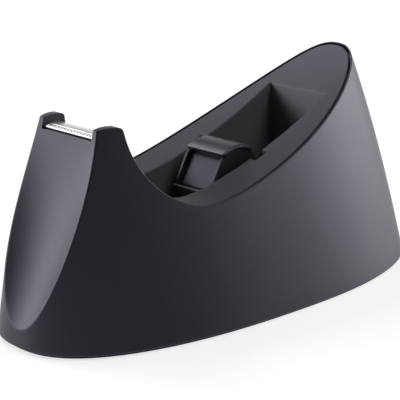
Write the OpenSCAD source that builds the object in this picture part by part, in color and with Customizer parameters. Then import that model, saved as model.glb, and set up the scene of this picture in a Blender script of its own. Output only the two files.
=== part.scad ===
// Desk tape dispenser, for small rolls of adhesive tape.
// A weighted oval body with a scooped front carries a saddle-shaped cover. The cover
// holds the roll pocket, the two open slots of the hub axle and the seat of the cutter.
// +X runs from the cutter to the tall back, +Z is up, and the origin is the middle of
// the footprint on the table.

/* [Body] */
// Length of the footprint
base_len = 150.8; // [148:0.1:158]
// Width of the footprint, before it swells towards the back
base_wid = 71.6; // [68:0.1:80]
// Height of the tip at the back
tip_h = 67.6; // [64:0.1:72]
// Lean of the front end, in degrees
front_lean = 5.6; // [4:0.1:7]
// Lean of the back end, in degrees
back_lean = 14.8; // [12:0.1:17]
// Lean of the two sides, in degrees
side_lean = 16.3; // [14:0.1:17]
// How far the back end bulges out at half its height
back_bulge = 2.6; // [0:0.1:3]
// Power of the oval: 2 is an ellipse, more is squarer
oval_power = 2.44; // [2.2:0.01:2.7]
// How much wider the oval is at its back than at its front
oval_swell = 0.11; // [0.05:0.01:0.16]
// Wall of the body
wall = 2.4; // [2:0.1:2.8]
// Width of the thin lip of the body round the cover
lip = 0.5; // [0.4:0.1:0.8]
// Gap between that lip and the cover
rim_gap = 0.7; // [0.4:0.1:0.8]

/* [Tower and scoop] */
// Distance of the cutter's middle from the front end of the footprint
tower_set = 23.4; // [22.5:0.1:25]
// Height that the cutter and the cheeks are measured from
tower_z = 52.9; // [51.5:0.1:54]
// Height of the cheeks' tops above that
cheek_up = 7.5; // [7.3:0.1:7.8]
// Radius of the gently rounded tops of the two cheeks
cheek_r = 18; // [15:0.5:22]
// Radius of the corner behind those tops
cheek_corner = 1.3; // [1.1:0.1:1.6]
// Clear width between the cheeks
cheek_gap = 20.8; // [20:0.1:21.4]
// Height at which the cheeks start to thicken
cheek_foot = 50; // [48:0.5:52]
// Height of the front wall's top edge, just under the cutter
scoop_top = 57; // [56.6:0.1:57.1]
// Distance of that edge from the cutter's middle
scoop_set = 3.6; // [3.5:0.1:3.8]
// Slope of the scoop at its top, in length per height
scoop_slope = 0.213; // [0.18:0.001:0.24]
// Radius of the scoop seen from the side
scoop_side_r = 155; // [145:1:180]
// Radius of the scoop's hollow near the table
scoop_foot_r = 18; // [16:0.5:24]
// Radius of the scoop's hollow at its top, where it is nearly flat
scoop_head_r = 150; // [120:5:300]

/* [Saddle] */
// Distance of the saddle's lowest point from the front end of the footprint
saddle_set = 51.5; // [49:0.5:54]
// Height of the saddle's lowest point
saddle_h = 35.3; // [34:0.1:37]
// Reach of the saddle's curve towards the tower
saddle_front_pull = 4.4; // [4:0.1:7]
// Reach of the saddle's curve towards the back
saddle_back_pull = 17.4; // [14:0.1:20]
// Length of the steep run down the back of the tower
tower_pull = 19.9; // [18:0.1:20.5]
// Lean of that run, in degrees
tower_pull_lean = 3; // [2.5:0.1:4]
// Reach of the curve that comes up to the tip
tip_pull = 27.8; // [24:0.1:30]
// Slope of the cover at the tip, in degrees
tip_slope = 38.7; // [36:0.1:41]
// Thickness of the cover's skin
skin = 2; // [1.6:0.1:2.2]

/* [Roll pocket] */
// Distance of the hub axle behind the middle of the footprint
hub_off = 3.5; // [2:0.1:5]
// Height of the hub axle
hub_z = 32; // [31.5:0.1:33]
// Clear width of the pocket
pocket_wid = 23.2; // [22.8:0.1:24]
// Distance from the axle to the front wall of the pocket
pocket_front = 34.5; // [33:0.5:35]
// Distance from the axle to the back wall of the pocket
pocket_back = 35.2; // [33:0.1:36]
// Radius of the pocket's two lower corners
pocket_corner = 13.6; // [10:0.1:15]
// Wall and floor of the pocket
pocket_wall = 2; // [1.6:0.1:2.2]
pocket_floor = 1.5; // [1.2:0.1:2]
// Width of the open slots for the axle
slot_wid = 4.4; // [4.2:0.1:4.8]
// Depth of each slot into its side wall
slot_deep = 2.4; // [2.2:0.1:2.8]
// Direction of the slots above the level, in degrees
slot_lean = 70; // [66:1:74]
// Wall of the boss behind each slot
slot_wall = 1.6; // [1.2:0.1:2]
// Wall of that boss beside the slot
slot_side = 2.2; // [1.6:0.1:2.6]

/* [Hub] */
// Diameter over the grip pads, a little less than the bore of a roll's core
grip_dia = 25.4; // [25:0.1:26]
// Length of a grip pad along the axle
grip_len = 16; // [15.6:0.1:17]
// Thickness of a grip pad
grip_t = 1.3; // [1.1:0.1:1.5]
// Angle that a grip pad covers
grip_angle = 62; // [58:1:66]
// Distance between the outer faces of the two side plates
hub_wid = 15.2; // [14.8:0.1:15.4]
// Thickness of a side plate
plate_t = 1; // [0.8:0.1:1.2]
// Distance from the axle to the flats of the side plates
flat_out = 10.4; // [10.2:0.1:10.6]
// Distance from the axle to the recessed flats of the drum
drum_out = 9; // [8.8:0.1:9.2]
// Inner radius of the drum
drum_in = 7.6; // [7.4:0.1:7.8]
// Diameter of the axle
axle_dia = 4; // [3.8:0.1:4.1]
// Running clearance of the axle in the hub, on the radius
axle_play = 0.05; // [0.02:0.01:0.09]
// Outer diameter of the hub's bearing tube
tube_dia = 6.8; // [6.6:0.1:7.2]
// Diameter of the three pegs that locate the halves on each other
peg_dia = 2.4; // [2.2:0.1:2.6]
// Distance of the pegs from the axle
peg_out = 5.55; // [5.5:0.05:5.6]
// Length of a peg past the middle of the hub
peg_len = 3; // [2:0.5:4]
// Width of the lug that holds a grip pad in the drum
lug_len = 6; // [4:0.5:8]
// Thickness of that lug
lug_t = 2; // [1.4:0.1:2.4]
// Play of the hub between the walls of the pocket, and of the axle between its slots
end_play = 0.4; // [0.3:0.05:0.5]

/* [Cutter] */
// Length of the steel cutter
blade_len = 20.4; // [19.6:0.1:20.4]
// Thickness of the steel
blade_t = 0.5; // [0.4:0.05:0.6]
// Outer radius of the land that the tape rests on
blade_r = 7.5; // [7.4:0.1:7.6]
// Height of the land's top above the cutter's middle
land_up = 5.5; // [5.45:0.05:5.55]
// Pitch of the teeth
tooth_pitch = 1.3; // [1.1:0.05:1.6]
// Height of the teeth
tooth_h = 0.55; // [0.4:0.05:0.6]
// Thickness of the strip with the teeth
tooth_t = 0.45; // [0.4:0.05:0.5]
// Distance of the teeth in front of the cutter's middle
tooth_out = 3.05; // [3:0.05:3.1]
// Width of the groove between the teeth and the land
groove_wid = 1; // [0.8:0.05:1.1]
// Height of the groove's floor above the cutter's middle
groove_up = 4.8; // [4.75:0.05:4.85]
// Height of the front edge's underside above the cutter's middle
edge_up = 4.4; // [4.35:0.05:4.45]
// Length of the plain stretch at each end of the row of teeth
end_len = 0.7; // [0.5:0.05:0.9]
// Distance of the folded back flange behind the cutter's middle
flange_out = 3.05; // [2.9:0.05:3.1]
// Height of that flange's lower edge above the cutter's middle
flange_up = 1.5; // [1.3:0.1:1.6]
// Reach of the plastic seat in front of the cutter's middle
seat_out = 0.9; // [0.7:0.1:1]
// Height of the seat's lower face above the cutter's middle
seat_up = 1.5; // [1.2:0.1:1.8]
// Diameter of the two stakes that hold the flange
stake_dia = 2; // [1.8:0.1:2.2]
// Distance of the stakes from the middle
stake_y = 6; // [5:0.5:7]
// Height of the stakes above the cutter's middle
stake_up = 2.9; // [2.8:0.1:3]

/* [Base] */
// Height of the body's lower edge above the table
foot_gap = 0.8; // [0.6:0.1:1.2]
// Thickness of the anti-slip sole
sole_t = 1.4; // [1.2:0.1:1.8]
// Thickness of the base plate
base_t = 1.5; // [1.2:0.1:2]
// Width of the body's edge outside the base plate
base_lip = 1.2; // [1:0.1:1.4]
// Height of the ballast blocks at the two ends
ballast_h = 23; // [15:0.5:25]
// Height of the ballast bars beside the pocket
bar_h = 17; // [10:0.5:20]

/* [Screws] */
// Diameter of the screws
screw_dia = 2.8; // [2.5:0.1:3]
// Length of the screws under the head
screw_len = 11; // [8:0.5:13]
// Diameter of the screw heads
head_dia = 5.4; // [5:0.1:6]
// Height of the screw heads
head_h = 1.6; // [1.4:0.1:1.8]
// Diameter of the posts that take the long pull between cover and base
post_dia = 7; // [6.4:0.1:7.4]
// Distance of the posts from the walls of the pocket
post_in = 5.2; // [5:0.1:5.8]
// Distance of the front pair of posts from the middle
front_post_y = 10; // [9:0.5:11]
// Distance of the back pair of posts from the middle
back_post_y = 8.5; // [7:0.5:9]
// Wall of the base plate's bosses round the heads
head_wall = 1.7; // [1.4:0.1:2]
// Height of those bosses above the plate
boss_up = 1.5; // [1.2:0.1:1.8]
// Plastic between a head and the top of its boss
head_web = 1.1; // [0.9:0.1:1.3]
// Distance of the front pair of ballast screws from the middle
front_screw_y = 12; // [10:0.5:14]
// Distance of the back pair of ballast screws from the back end of the footprint
back_screw_set = 17.4; // [16:0.1:18]
// Distance of that pair from the middle
back_screw_y = 10; // [8:0.5:12]
// Distance of the ballast bars' screws in front of the hub axle
bar_screw_front = 21; // [18:0.5:24]
// Distance of the bars' screws behind the hub axle
bar_screw_back = 25; // [20:0.5:27]
// Distance of the bars' screws from the middle
bar_screw_y = 20.5; // [20:0.1:21]

/* [Hidden] */

$fn = 64;
oval_sides = 72;        // sides of the oval outline
row_h = 12;             // height of one row of the leaning walls' facets
curve_steps = 18;       // steps of each half of the side curve
block_h = tip_h + 4;    // height that the leaning blocks are drawn to
far = 100;              // a reach beyond the whole body
fit = 0.2;              // assembly gap between mating pieces
hair = 0.05;            // gap between a screw or a stake and its hole
throat = 20;            // reach of the cuts between the cheeks, from the cutter's middle
cheek_back = 7.8;       // reach of the cheeks behind the cutter's middle
stake_head = 0.35;      // height of a stake's flattened head

front_x = -base_len / 2;
tip_x = base_len / 2 - tip_h * tan(back_lean);
tower_x = front_x + tower_set;
saddle_x = front_x + saddle_set;
hub_x = hub_off;
pocket_x0 = hub_x - pocket_front;
pocket_x1 = hub_x + pocket_back;
scoop_x = tower_x - scoop_set;
plate_top = sole_t + base_t;
floor_z = plate_top + pocket_floor;
cover_in = lip + rim_gap;
slot_y = pocket_wid / 2 + slot_deep;
slot_reach = 30;

// Places of the cutter, measured from the front end and from the table
tooth_x = tower_x - tooth_out;
tooth_back = tooth_t - tooth_out;
groove_back = tooth_back + groove_wid;
valley_up = groove_up + 0.1;

// Screw bosses of the base plate, and where its screws stand
boss_dia = head_dia + 2 * head_wall;
head_seat = plate_top + boss_up - head_web;
cover_spots = [for (side = [-1, 1]) each [
    [pocket_x0 - pocket_wall - post_in, side * front_post_y],
    [pocket_x1 + pocket_wall + post_in, side * back_post_y]]];
ballast_spots = [for (side = [-1, 1]) each [
    [tower_x, side * front_screw_y],
    [base_len / 2 - back_screw_set, side * back_screw_y],
    [hub_x - bar_screw_front, side * bar_screw_y],
    [hub_x + bar_screw_back, side * bar_screw_y]]];
ballast_gap = 0.6;

// ---- Outline of the body ----

function sign_pow(v, p) = sign(v) * pow(abs(v), p);

// Outline of the leaning wall, moved in by inset, at height z: an oval that is wider at its back
function oval(inset, z) =
    let (a = base_len / 2 - inset, b = base_wid / 2 - inset,
        apex_h = 2 * a / (tan(front_lean) + tan(back_lean)),
        apex_x = tan(front_lean) * apex_h - a,
        bulge = 4 * back_bulge * z / tip_h * (1 - z / tip_h))
    [for (i = [0:oval_sides - 1])
        let (t = 360 * (i + 0.5) / oval_sides, u = sign_pow(cos(t), 2 / oval_power))
        [apex_x + (a * u - apex_x) * (1 - z / apex_h) + bulge * pow(max(u, 0), 2),
            (b - z * tan(side_lean)) * sign_pow(sin(t), 2 / oval_power) * (1 + oval_swell * u), z]];

// Leaning oval block: the body's outside moved in by inset, from height z0 to z1
module oval_block(inset, z0, z1) {
    n = oval_sides;
    rows = ceil((z1 - z0) / row_h);
    polyhedron([for (j = [0:rows]) each oval(inset, z0 + (z1 - z0) * j / rows)], concat(
        [[for (i = [0:n - 1]) i], [for (i = [n - 1:-1:0]) rows * n + i]],
        [for (j = [0:rows - 1], i = [0:n - 1]) [j * n + i, (j + 1) * n + i, (j + 1) * n + (i + 1) % n]],
        [for (j = [0:rows - 1], i = [0:n - 1]) [j * n + i, (j + 1) * n + (i + 1) % n, j * n + (i + 1) % n]]));
}

function unit(v) = v / norm(v);
function bezier(p, t) = pow(1 - t, 3) * p[0] + 3 * t * pow(1 - t, 2) * p[1]
    + 3 * t * t * (1 - t) * p[2] + pow(t, 3) * p[3];
function bezier_dir(p, t) = unit(pow(1 - t, 2) * (p[1] - p[0])
    + 2 * t * (1 - t) * (p[2] - p[1]) + t * t * (p[3] - p[2]));
function polar(r, a) = r * [cos(a), sin(a)];
// Point of a curve moved by depth into the body, to the right of its direction
function sunk(p, t, depth) = let (d = bezier_dir(p, t)) bezier(p, t) + depth * [d[1], -d[0]];

// Side view of the top: tower down to the saddle, then up to the tip
back_top = 76.2;        // direction in which the tower's round top ends
crown_c = [tower_x, tower_z + cheek_up - cheek_r];
land_c = [tower_x, tower_z + land_up - blade_r];
saddle_p = [saddle_x, saddle_h];
tip_p = [tip_x, tip_h];
tower_top = crown_c + polar(cheek_r, back_top);
fall = [tower_top, tower_top + polar(tower_pull, tower_pull_lean - 90),
    saddle_p - [saddle_front_pull, 0], saddle_p];
rise = [saddle_p, saddle_p + [saddle_back_pull, 0],
    tip_p - polar(tip_pull, tip_slope), tip_p];
// Centre of the corner's round, which touches the round top and the steep run behind it
run_way = polar(1, tower_pull_lean - 90);
corner_in = tower_top + polar(cheek_corner, tower_pull_lean + 180) - crown_c;
corner_down = -corner_in * run_way
    - sqrt(pow(corner_in * run_way, 2) - corner_in * corner_in + pow(cheek_r - cheek_corner, 2));
corner_c = crown_c + corner_in + corner_down * run_way;

// Everything under the side curve moved down by depth, seen from the side
module side_area(depth) {
    r = cheek_r - depth;
    corner_r = cheek_corner - depth;
    round_corner = corner_r > 0;
    start = sunk(fall, 0, depth);
    curve = concat([for (i = [0:curve_steps]) sunk(fall, i / curve_steps, depth)],
        [for (i = [1:curve_steps]) sunk(rise, i / curve_steps, depth)]);
    last = curve[len(curve) - 1] + polar(15, tip_slope);
    intersection() {
        polygon(concat([[-far, -5], [-far, far], start + polar(far - start[1], tower_pull_lean + 90)],
            curve, [last, [far, last[1]], [far, -5]]));
        union() {
            translate([-far, -5]) square([2 * far, (round_corner ? corner_c[1] : tower_z) + 5]);
            translate([saddle_x, -5]) square([2 * far, 2 * far]);
            intersection() {
                translate(crown_c) circle(r);
                translate([-far, -5]) square([far + (round_corner ? corner_c[0] : saddle_x), 2 * far]);
            }
            if (round_corner) translate(corner_c) circle(corner_r);
        }
    }
}

module side_prism(depth) {
    along_y(-far, far) side_area(depth);
}

// Draws a side view (x across, z up) as a solid from y0 to y1
module along_y(y0, y1) {
    translate([0, y1, 0]) rotate([90, 0, 0]) linear_extrude(y1 - y0) children();
}

// Spoon-shaped block in front of the scoop, moved back by depth
scoop_rows = 14;
scoop_cols = 12;
scoop_half = 17;
scoop_foot = 4;
function scoop_point(y, z) = let (
        s = (scoop_top - z) / (scoop_top - scoop_foot),
        bend = (1 - s) / scoop_head_r + s / scoop_foot_r,
        down = scoop_top - z)
    [scoop_x - scoop_slope * down - down * down / (2 * scoop_side_r) - bend * y * y / 2, y, z];
module scoop(depth = 0) {
    rows = [for (j = [0:scoop_rows]) scoop_foot + (scoop_top + 6 - scoop_foot) * j / scoop_rows];
    cols = [for (i = [0:scoop_cols]) scoop_half * (2 * i / scoop_cols - 1)];
    n = scoop_cols + 1;
    face = [for (z = rows, y = cols) scoop_point(y, z) + [depth, 0, 0]];
    back = [for (z = rows, y = cols) [-far, y, z]];
    k = len(face);
    cell = [for (j = [0:scoop_rows - 1], i = [0:scoop_cols - 1]) j * n + i];
    rim = concat([for (i = [0:scoop_cols]) i],
        [for (j = [1:scoop_rows]) j * n + scoop_cols],
        [for (i = [scoop_cols - 1:-1:0]) scoop_rows * n + i],
        [for (j = [scoop_rows - 1:-1:1]) j * n]);
    m = len(rim);
    polyhedron(concat(face, back), concat(
        [for (c = cell) [c, c + n, c + n + 1]], [for (c = cell) [c, c + n + 1, c + 1]],
        [for (c = cell) [c + k, c + k + n + 1, c + k + n]],
        [for (c = cell) [c + k, c + k + 1, c + k + n + 1]],
        [for (i = [0:m - 1]) [rim[i], rim[(i + 1) % m], rim[(i + 1) % m] + k]],
        [for (i = [0:m - 1]) [rim[i], rim[(i + 1) % m] + k, rim[i] + k]]));
}

// The two blocks beside the cutter in which the body's wall thickens to a cheek
module cheek_zone(gap) {
    for (side = [-1, 1])
        translate([tower_x - throat, side > 0 ? gap / 2 : -far, cheek_foot])
            cube([throat + cheek_back + 1, far - gap / 2, far]);
}

// ---- Body, cover and cutter ----

module body_shell() {
    color("#2a2a2e") difference() {
        intersection() {
            oval_block(0, foot_gap, block_h);
            side_prism(0);
        }
        scoop();
        // hollow inside the walls
        difference() {
            oval_block(wall, -1, block_h);
            scoop(wall);
            cheek_zone(cheek_gap);
        }
        // wider opening inside the lip, down to the ledge that carries the cover
        difference() {
            oval_block(lip, cheek_foot / 3, block_h);
            side_prism(skin);
            cheek_zone(cheek_gap);
        }
        // throat between the cheeks, over the front wall
        translate([tower_x - throat, -cheek_gap / 2, scoop_top]) cube([2 * throat, cheek_gap, far]);
        // rebate for the base plate
        oval_block(base_lip, -1, plate_top);
    }
}

// Side view of the pocket, grown by t on its walls and by down on its floor
module pocket_side(t, down) {
    r = pocket_corner + t;
    x0 = pocket_x0 - t;
    x1 = pocket_x1 + t;
    z0 = floor_z - down;
    translate([x0, z0 + r]) square([x1 - x0, far]);
    translate([x0 + r, z0]) square([x1 - x0 - 2 * r, far]);
    for (x = [x0 + r, x1 - r]) translate([x, z0 + r]) circle(r);
}

// Bar with a round lower end, from the axle up along the slots' lean, out to y on each side
module slot_bar(w, y) {
    translate([hub_x, 0, hub_z]) rotate([0, -slot_lean, 0]) along_y(-y, y) {
        circle(d = w);
        translate([0, -w / 2]) square([slot_reach, w]);
    }
}

module top_cover() {
    half = pocket_wid / 2;
    stake_x = tower_x + flange_out;
    color("#37373c") {
        difference() {
            union() {
                // skin, cut off under the cutter
                difference() {
                    intersection() {
                        oval_block(cover_in, cheek_foot / 3, block_h);
                        side_prism(0);
                    }
                    side_prism(skin);
                    cheek_zone(cheek_gap - 2 * fit);
                    translate([tower_x - throat, -far, tower_z + seat_up])
                        cube([throat + cheek_back, 2 * far, far]);
                    translate([-far, -far, 0]) cube([far + tower_x - seat_out, 2 * far, block_h]);
                }
                intersection() {
                    side_prism(skin / 2);
                    union() {
                        along_y(-half - pocket_wall, half + pocket_wall)
                            pocket_side(pocket_wall, pocket_floor);
                        slot_bar(slot_wid + 2 * slot_side, slot_y + slot_wall);
                        for (p = cover_spots)
                            translate([p[0], p[1], plate_top + boss_up])
                                cylinder(h = far, d = post_dia);
                    }
                }
                // seat of the cutter, carried by the back of the tower
                along_y(-cheek_gap / 2 + fit, cheek_gap / 2 - fit) intersection() {
                    translate(land_c) circle(blade_r - blade_t);
                    translate([tower_x - seat_out, cheek_foot]) square([flange_out + seat_out, far]);
                }
            }
            along_y(-half, half) pocket_side(0, 0);
            slot_bar(slot_wid, slot_y);
            for (p = cover_spots)
                translate([p[0], p[1], plate_top]) cylinder(h = screw_len + 1, d = screw_dia + 2 * hair);
        }
        // two stakes, flattened over the cutter's back flange
        for (side = [-1, 1]) translate([stake_x, side * stake_y, tower_z + stake_up]) rotate([0, 90, 0]) {
            translate([0, 0, -blade_t]) cylinder(h = 2 * blade_t, d = stake_dia);
            translate([0, 0, blade_t]) cylinder(h = stake_head, d = stake_dia * 1.5);
        }
    }
}

// Cross-section of the cutter; closed is the end stretch, where the groove is filled
module blade_side(closed) {
    // points of a round from x = a to x = b, measured from the cutter's middle
    arc = function(r, a, b) [for (i = [0:12]) let (t = acos(a / r) + (acos(b / r) - acos(a / r)) * i / 12)
        polar(r, t) + [0, land_up - blade_r]];
    flange = flange_out + blade_t;
    lip_pts = closed ? [[-tooth_out, edge_up]] : [[groove_back, groove_up], [tooth_back, groove_up],
        [tooth_back, valley_up + tooth_h], [-tooth_out, valley_up + tooth_h], [-tooth_out, edge_up]];
    translate([tower_x, tower_z]) polygon(concat(
        [[flange_out, flange_up], [flange, flange_up]],
        arc(blade_r, flange, closed ? -tooth_out : groove_back), lip_pts,
        [[groove_back + blade_t, edge_up]], arc(blade_r - blade_t, groove_back + blade_t, flange_out)));
}

module cutter_blade() {
    half = blade_len / 2;
    teeth = floor((blade_len - 2 * end_len) / tooth_pitch);
    run = teeth * tooth_pitch / 2;
    color("silver") difference() {
        union() {
            along_y(-half, half) blade_side(false);
            for (side = [-1, 1])
                along_y(side > 0 ? half - end_len : -half, side > 0 ? half : end_len - half)
                    blade_side(true);
        }
        for (i = [0:teeth]) translate([tooth_x - 1, i * tooth_pitch - run, tower_z + valley_up])
            rotate([90, 0, 90]) linear_extrude(tooth_t + 1.2)
                polygon([[0, 0], [tooth_pitch / 2, tooth_h + 0.01], [tooth_pitch / 2, 2],
                    [-tooth_pitch / 2, 2], [-tooth_pitch / 2, tooth_h + 0.01]]);
        for (side = [-1, 1]) translate([tower_x + flange_out - 1, side * stake_y, tower_z + stake_up])
            rotate([0, 90, 0]) cylinder(h = 3, d = stake_dia + 2 * hair);
    }
}

// ---- Base and ballast ----

module anti_slip_sole() {
    color("#1c1c1e") oval_block(base_lip + fit, 0, sole_t);
}

module base_plate() {
    spots = concat(cover_spots, ballast_spots);
    color("#3a3a3a") difference() {
        union() {
            oval_block(base_lip + fit, sole_t, plate_top);
            for (p = spots) translate([p[0], p[1], sole_t]) cylinder(h = base_t + boss_up, d = boss_dia);
        }
        for (p = spots) translate([p[0], p[1], 0]) {
            cylinder(h = head_seat, d = head_dia + 2 * fit);
            cylinder(h = far, d = screw_dia + 2 * hair);
        }
    }
}

// One block or bar of ballast: the space inside the walls between x0 and x1, and y0 and y1
module ballast(x0, x1, y0, y1, h, spots) {
    color("#5c5e60") difference() {
        intersection() {
            oval_block(wall + ballast_gap, plate_top, plate_top + h);
            translate([x0, y0, 0]) cube([x1 - x0, y1 - y0, far]);
        }
        scoop(wall + ballast_gap);
        for (p = spots) translate([p[0], p[1], 0]) {
            cylinder(h = plate_top + boss_up + fit, d = boss_dia + 2 * fit);
            cylinder(h = plate_top + screw_len + 1, d = screw_dia + 2 * hair);
        }
    }
}

block_front_x = pocket_x0 - pocket_wall - post_in - boss_dia / 2 - ballast_gap;
block_back_x = pocket_x1 + pocket_wall + post_in + boss_dia / 2 + ballast_gap;
bar_in = slot_y + slot_wall + ballast_gap;
bar_x0 = pocket_x0 + 3;
bar_x1 = pocket_x1 - 1;

module ballast_front() {
    ballast(front_x, block_front_x, -far, far, ballast_h, ballast_spots);
}
module ballast_back() {
    ballast(block_back_x, far, -far, far, ballast_h, ballast_spots);
}
module ballast_left() {
    ballast(bar_x0, bar_x1, bar_in, far, bar_h, ballast_spots);
}
module ballast_right() {
    ballast(bar_x0, bar_x1, -far, -bar_in, bar_h, ballast_spots);
}

// Pan head screw, driven up from below, with a cross recess in its head
module screw() {
    difference() {
        union() {
            translate([0, 0, head_seat - head_h]) cylinder(h = head_h, d = head_dia);
            translate([0, 0, head_seat]) cylinder(h = screw_len, d = screw_dia);
        }
        translate([0, 0, head_seat - head_h]) for (turn = [0, 90]) rotate(turn)
            cube([head_dia * 0.6, 0.8, 1.6], center = true);
    }
}
module cover_screws() {
    color("#8a8d90") for (p = cover_spots) translate([p[0], p[1], 0]) screw();
}
module ballast_screws() {
    color("#8a8d90") for (p = ballast_spots) translate([p[0], p[1], 0]) screw();
}

// ---- Hub ----

plate_r = grip_dia / 2 - grip_t;
drum_r = plate_r - 1.2;
hub_half_wid = hub_wid / 2;
peg_angles = [30, 150, 270];
pad_angles = [90, 210, 330];

// Round outline with three flats, between the three grip pads
module lobes(r, out) {
    intersection() {
        circle(r);
        intersection_for(a = peg_angles)
            rotate(a) translate([-far, -far]) square([far + out, 2 * far]);
    }
}

module ring_sector(r0, r1, half_angle) {
    difference() {
        circle(r1);
        circle(r0);
        for (s = [-1, 1]) rotate(s * half_angle) translate([-far, s > 0 ? 0 : -far]) square([2 * far, far]);
        translate([-far, -far]) square([far, 2 * far]);
    }
}

// Half of the hub between the middle plane and its outer face; pegs is true on the near half
module hub_half(pegs) {
    color("#3d3d42") translate([hub_x, 0, hub_z]) mirror([0, pegs ? 0 : 1, 0]) difference() {
        union() {
            along_y(-hub_half_wid, plate_t - hub_half_wid) lobes(plate_r, flat_out);
            along_y(plate_t - hub_half_wid, 0) difference() {
                lobes(drum_r, drum_out);
                circle(drum_in);
            }
            along_y(-pocket_wid / 2 + end_play, 0) circle(d = tube_dia);
            for (a = peg_angles) {
                c = polar(peg_out, a);
                if (pegs) along_y(-hub_half_wid + plate_t / 2, peg_len) translate(c) circle(d = peg_dia);
                else along_y(-hub_half_wid + plate_t / 2, 0) translate(c) circle(d = peg_dia + 1.6);
            }
        }
        along_y(-far, far) circle(axle_dia / 2 + axle_play);
        if (!pegs) for (a = peg_angles) along_y(-peg_len - 1, 1)
            translate(polar(peg_out, a)) circle(d = peg_dia + 2 * hair);
        for (a = pad_angles) rotate([0, -a, 0])
            translate([drum_in - 1, -(lug_len + fit) / 2, -(lug_t + fit) / 2])
                cube([far, lug_len + fit, lug_t + fit]);
    }
}
module hub_half_near() {
    hub_half(true);
}
module hub_half_far() {
    hub_half(false);
}

// Sprung shoe that grips the roll's core; its lug snaps through the drum
module grip_pad(turn) {
    color("#55565b") translate([hub_x, 0, hub_z]) rotate([0, -turn, 0]) union() {
        along_y(-grip_len / 2, grip_len / 2) ring_sector(plate_r, plate_r + grip_t, grip_angle / 2);
        along_y(plate_t + fit - hub_half_wid, hub_half_wid - plate_t - fit)
            ring_sector(drum_r, plate_r + grip_t / 2, grip_angle / 2 - 4);
        translate([drum_in - 0.6, -lug_len / 2, -lug_t / 2]) cube([drum_r - drum_in + 1, lug_len, lug_t]);
    }
}
module grip_pad_top() {
    grip_pad(pad_angles[0]);
}
module grip_pad_front() {
    grip_pad(pad_angles[1]);
}
module grip_pad_back() {
    grip_pad(pad_angles[2]);
}

module hub_axle() {
    half = slot_y - end_play;
    color("#b9bcc0") translate([hub_x, 0, hub_z]) along_y(-half, half) circle(d = axle_dia);
}

body_shell();
top_cover();
cutter_blade();
base_plate();
anti_slip_sole();
ballast_front();
ballast_back();
ballast_left();
ballast_right();
cover_screws();
ballast_screws();
hub_half_near();
hub_half_far();
grip_pad_top();
grip_pad_front();
grip_pad_back();
hub_axle();
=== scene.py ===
from math import acos, cos, degrees, hypot, pi, radians, sin, tan
import bmesh
import bpy
import numpy as np
from mathutils import Matrix, Vector


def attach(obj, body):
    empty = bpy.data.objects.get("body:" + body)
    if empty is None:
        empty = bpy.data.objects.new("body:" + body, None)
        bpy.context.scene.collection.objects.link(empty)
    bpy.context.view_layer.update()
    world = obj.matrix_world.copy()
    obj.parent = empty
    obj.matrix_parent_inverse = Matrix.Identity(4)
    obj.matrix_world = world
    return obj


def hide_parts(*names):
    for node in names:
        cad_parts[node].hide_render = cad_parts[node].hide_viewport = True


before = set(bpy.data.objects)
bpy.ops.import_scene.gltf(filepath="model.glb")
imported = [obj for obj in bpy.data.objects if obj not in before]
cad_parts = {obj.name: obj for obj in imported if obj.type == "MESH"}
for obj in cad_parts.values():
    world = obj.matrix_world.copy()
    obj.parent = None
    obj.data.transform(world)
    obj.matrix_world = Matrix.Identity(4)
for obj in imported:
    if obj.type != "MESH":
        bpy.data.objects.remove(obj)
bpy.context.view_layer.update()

# ---- Body shell ----------------------------------------------------------------------------
# The outer shell: one injection moulding in black ABS with a fine spark-eroded grain.
# A leaning egg-shaped wall, cut by the scoop under the cutter and by the saddle on top. Its
# thin lip frames the cover, and the two cheeks beside the cutter are part of it.
HALF_LEN, HALF_WID = 75.4, 35.8            # footprint; meshes are in mm until finished()
POWER, SWELL = 2.44, 0.11                  # squareness of the egg, and how much wider its back is
FRONT, BACK, SIDE = (tan(radians(a)) for a in (5.6, 14.8, 16.3))   # lean of the walls
TIP_Z = 67.6
BULGE = 2.6                                # how far the back bulges out at half its height
TOWER = np.array([-52.0, 52.9])            # place that the cutter is measured from, in side view
CHEEK_R, CHEEK_UP = 18.0, 7.5              # the cheeks' round tops, and their height over TOWER
CHEEK_START, CHEEK_END, CHEEK_CORNER = 112.0, 76.2, 3.8    # their ends, and the soft rear corner, degrees
CROWN = TOWER + [0, CHEEK_UP - CHEEK_R]    # centre of those tops
FALL_PULL, FALL_LEAN, SADDLE_PULL = 19.9, 3.0, 4.4         # the line from the cheeks down to the saddle
RISE_PULL, TIP_PULL, TIP_SLOPE = 17.4, 27.8, 38.7          # and from there up to the tip
SADDLE = np.array([-23.9, 35.3])
TIP = np.array([HALF_LEN - TIP_Z * BACK, TIP_Z])
CHEEK_IN, CHEEK_FOOT, CHEEK_BACK = 10.4, 50.0, -43.2
WALL, LIP, SKIN, SKIRT_Z = 2.4, 0.5, 2.0, 16
FOOT_Z, PLATE_TOP, PLATE_GAP = 0.8, 2.9, 1.2
SCOOP_TOP, SCOOP_X, SCOOP_SLOPE, SCOOP_END = 57.0, -55.6, 0.213, 4
SCOOP_SIDE_R, SCOOP_HEAD_R, SCOOP_FOOT_R = 155, 150, 18    # seen from the side, and across both ends
RIDGE_ROUND, RIM_ROUND, FOOT_ROUND, CORNER_ROUND = 0.5, 0.25, 0.7, 0.4
EDGE_STEP = 0.8                            # spacing of the stations along the edges
THROAT_X, THROAT_END = -72, -32            # the space between the cheeks, cut free from front to back
FAR, ABOVE = 60, 90                        # reaches of the cuts, past the body on every side


def egg(theta):
    """Unit outline of the footprint for an angle from the back: half length and half width."""
    u = np.sign(np.cos(theta)) * np.abs(np.cos(theta)) ** (2 / POWER)
    return u, np.abs(np.sin(theta)) ** (2 / POWER) * (1 + SWELL * u)


def apex(inset):
    """Height and place at which the front and back lines of the leaning wall would meet."""
    height = 2 * (HALF_LEN - inset) / (FRONT + BACK)
    return height, FRONT * height - (HALF_LEN - inset)


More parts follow.
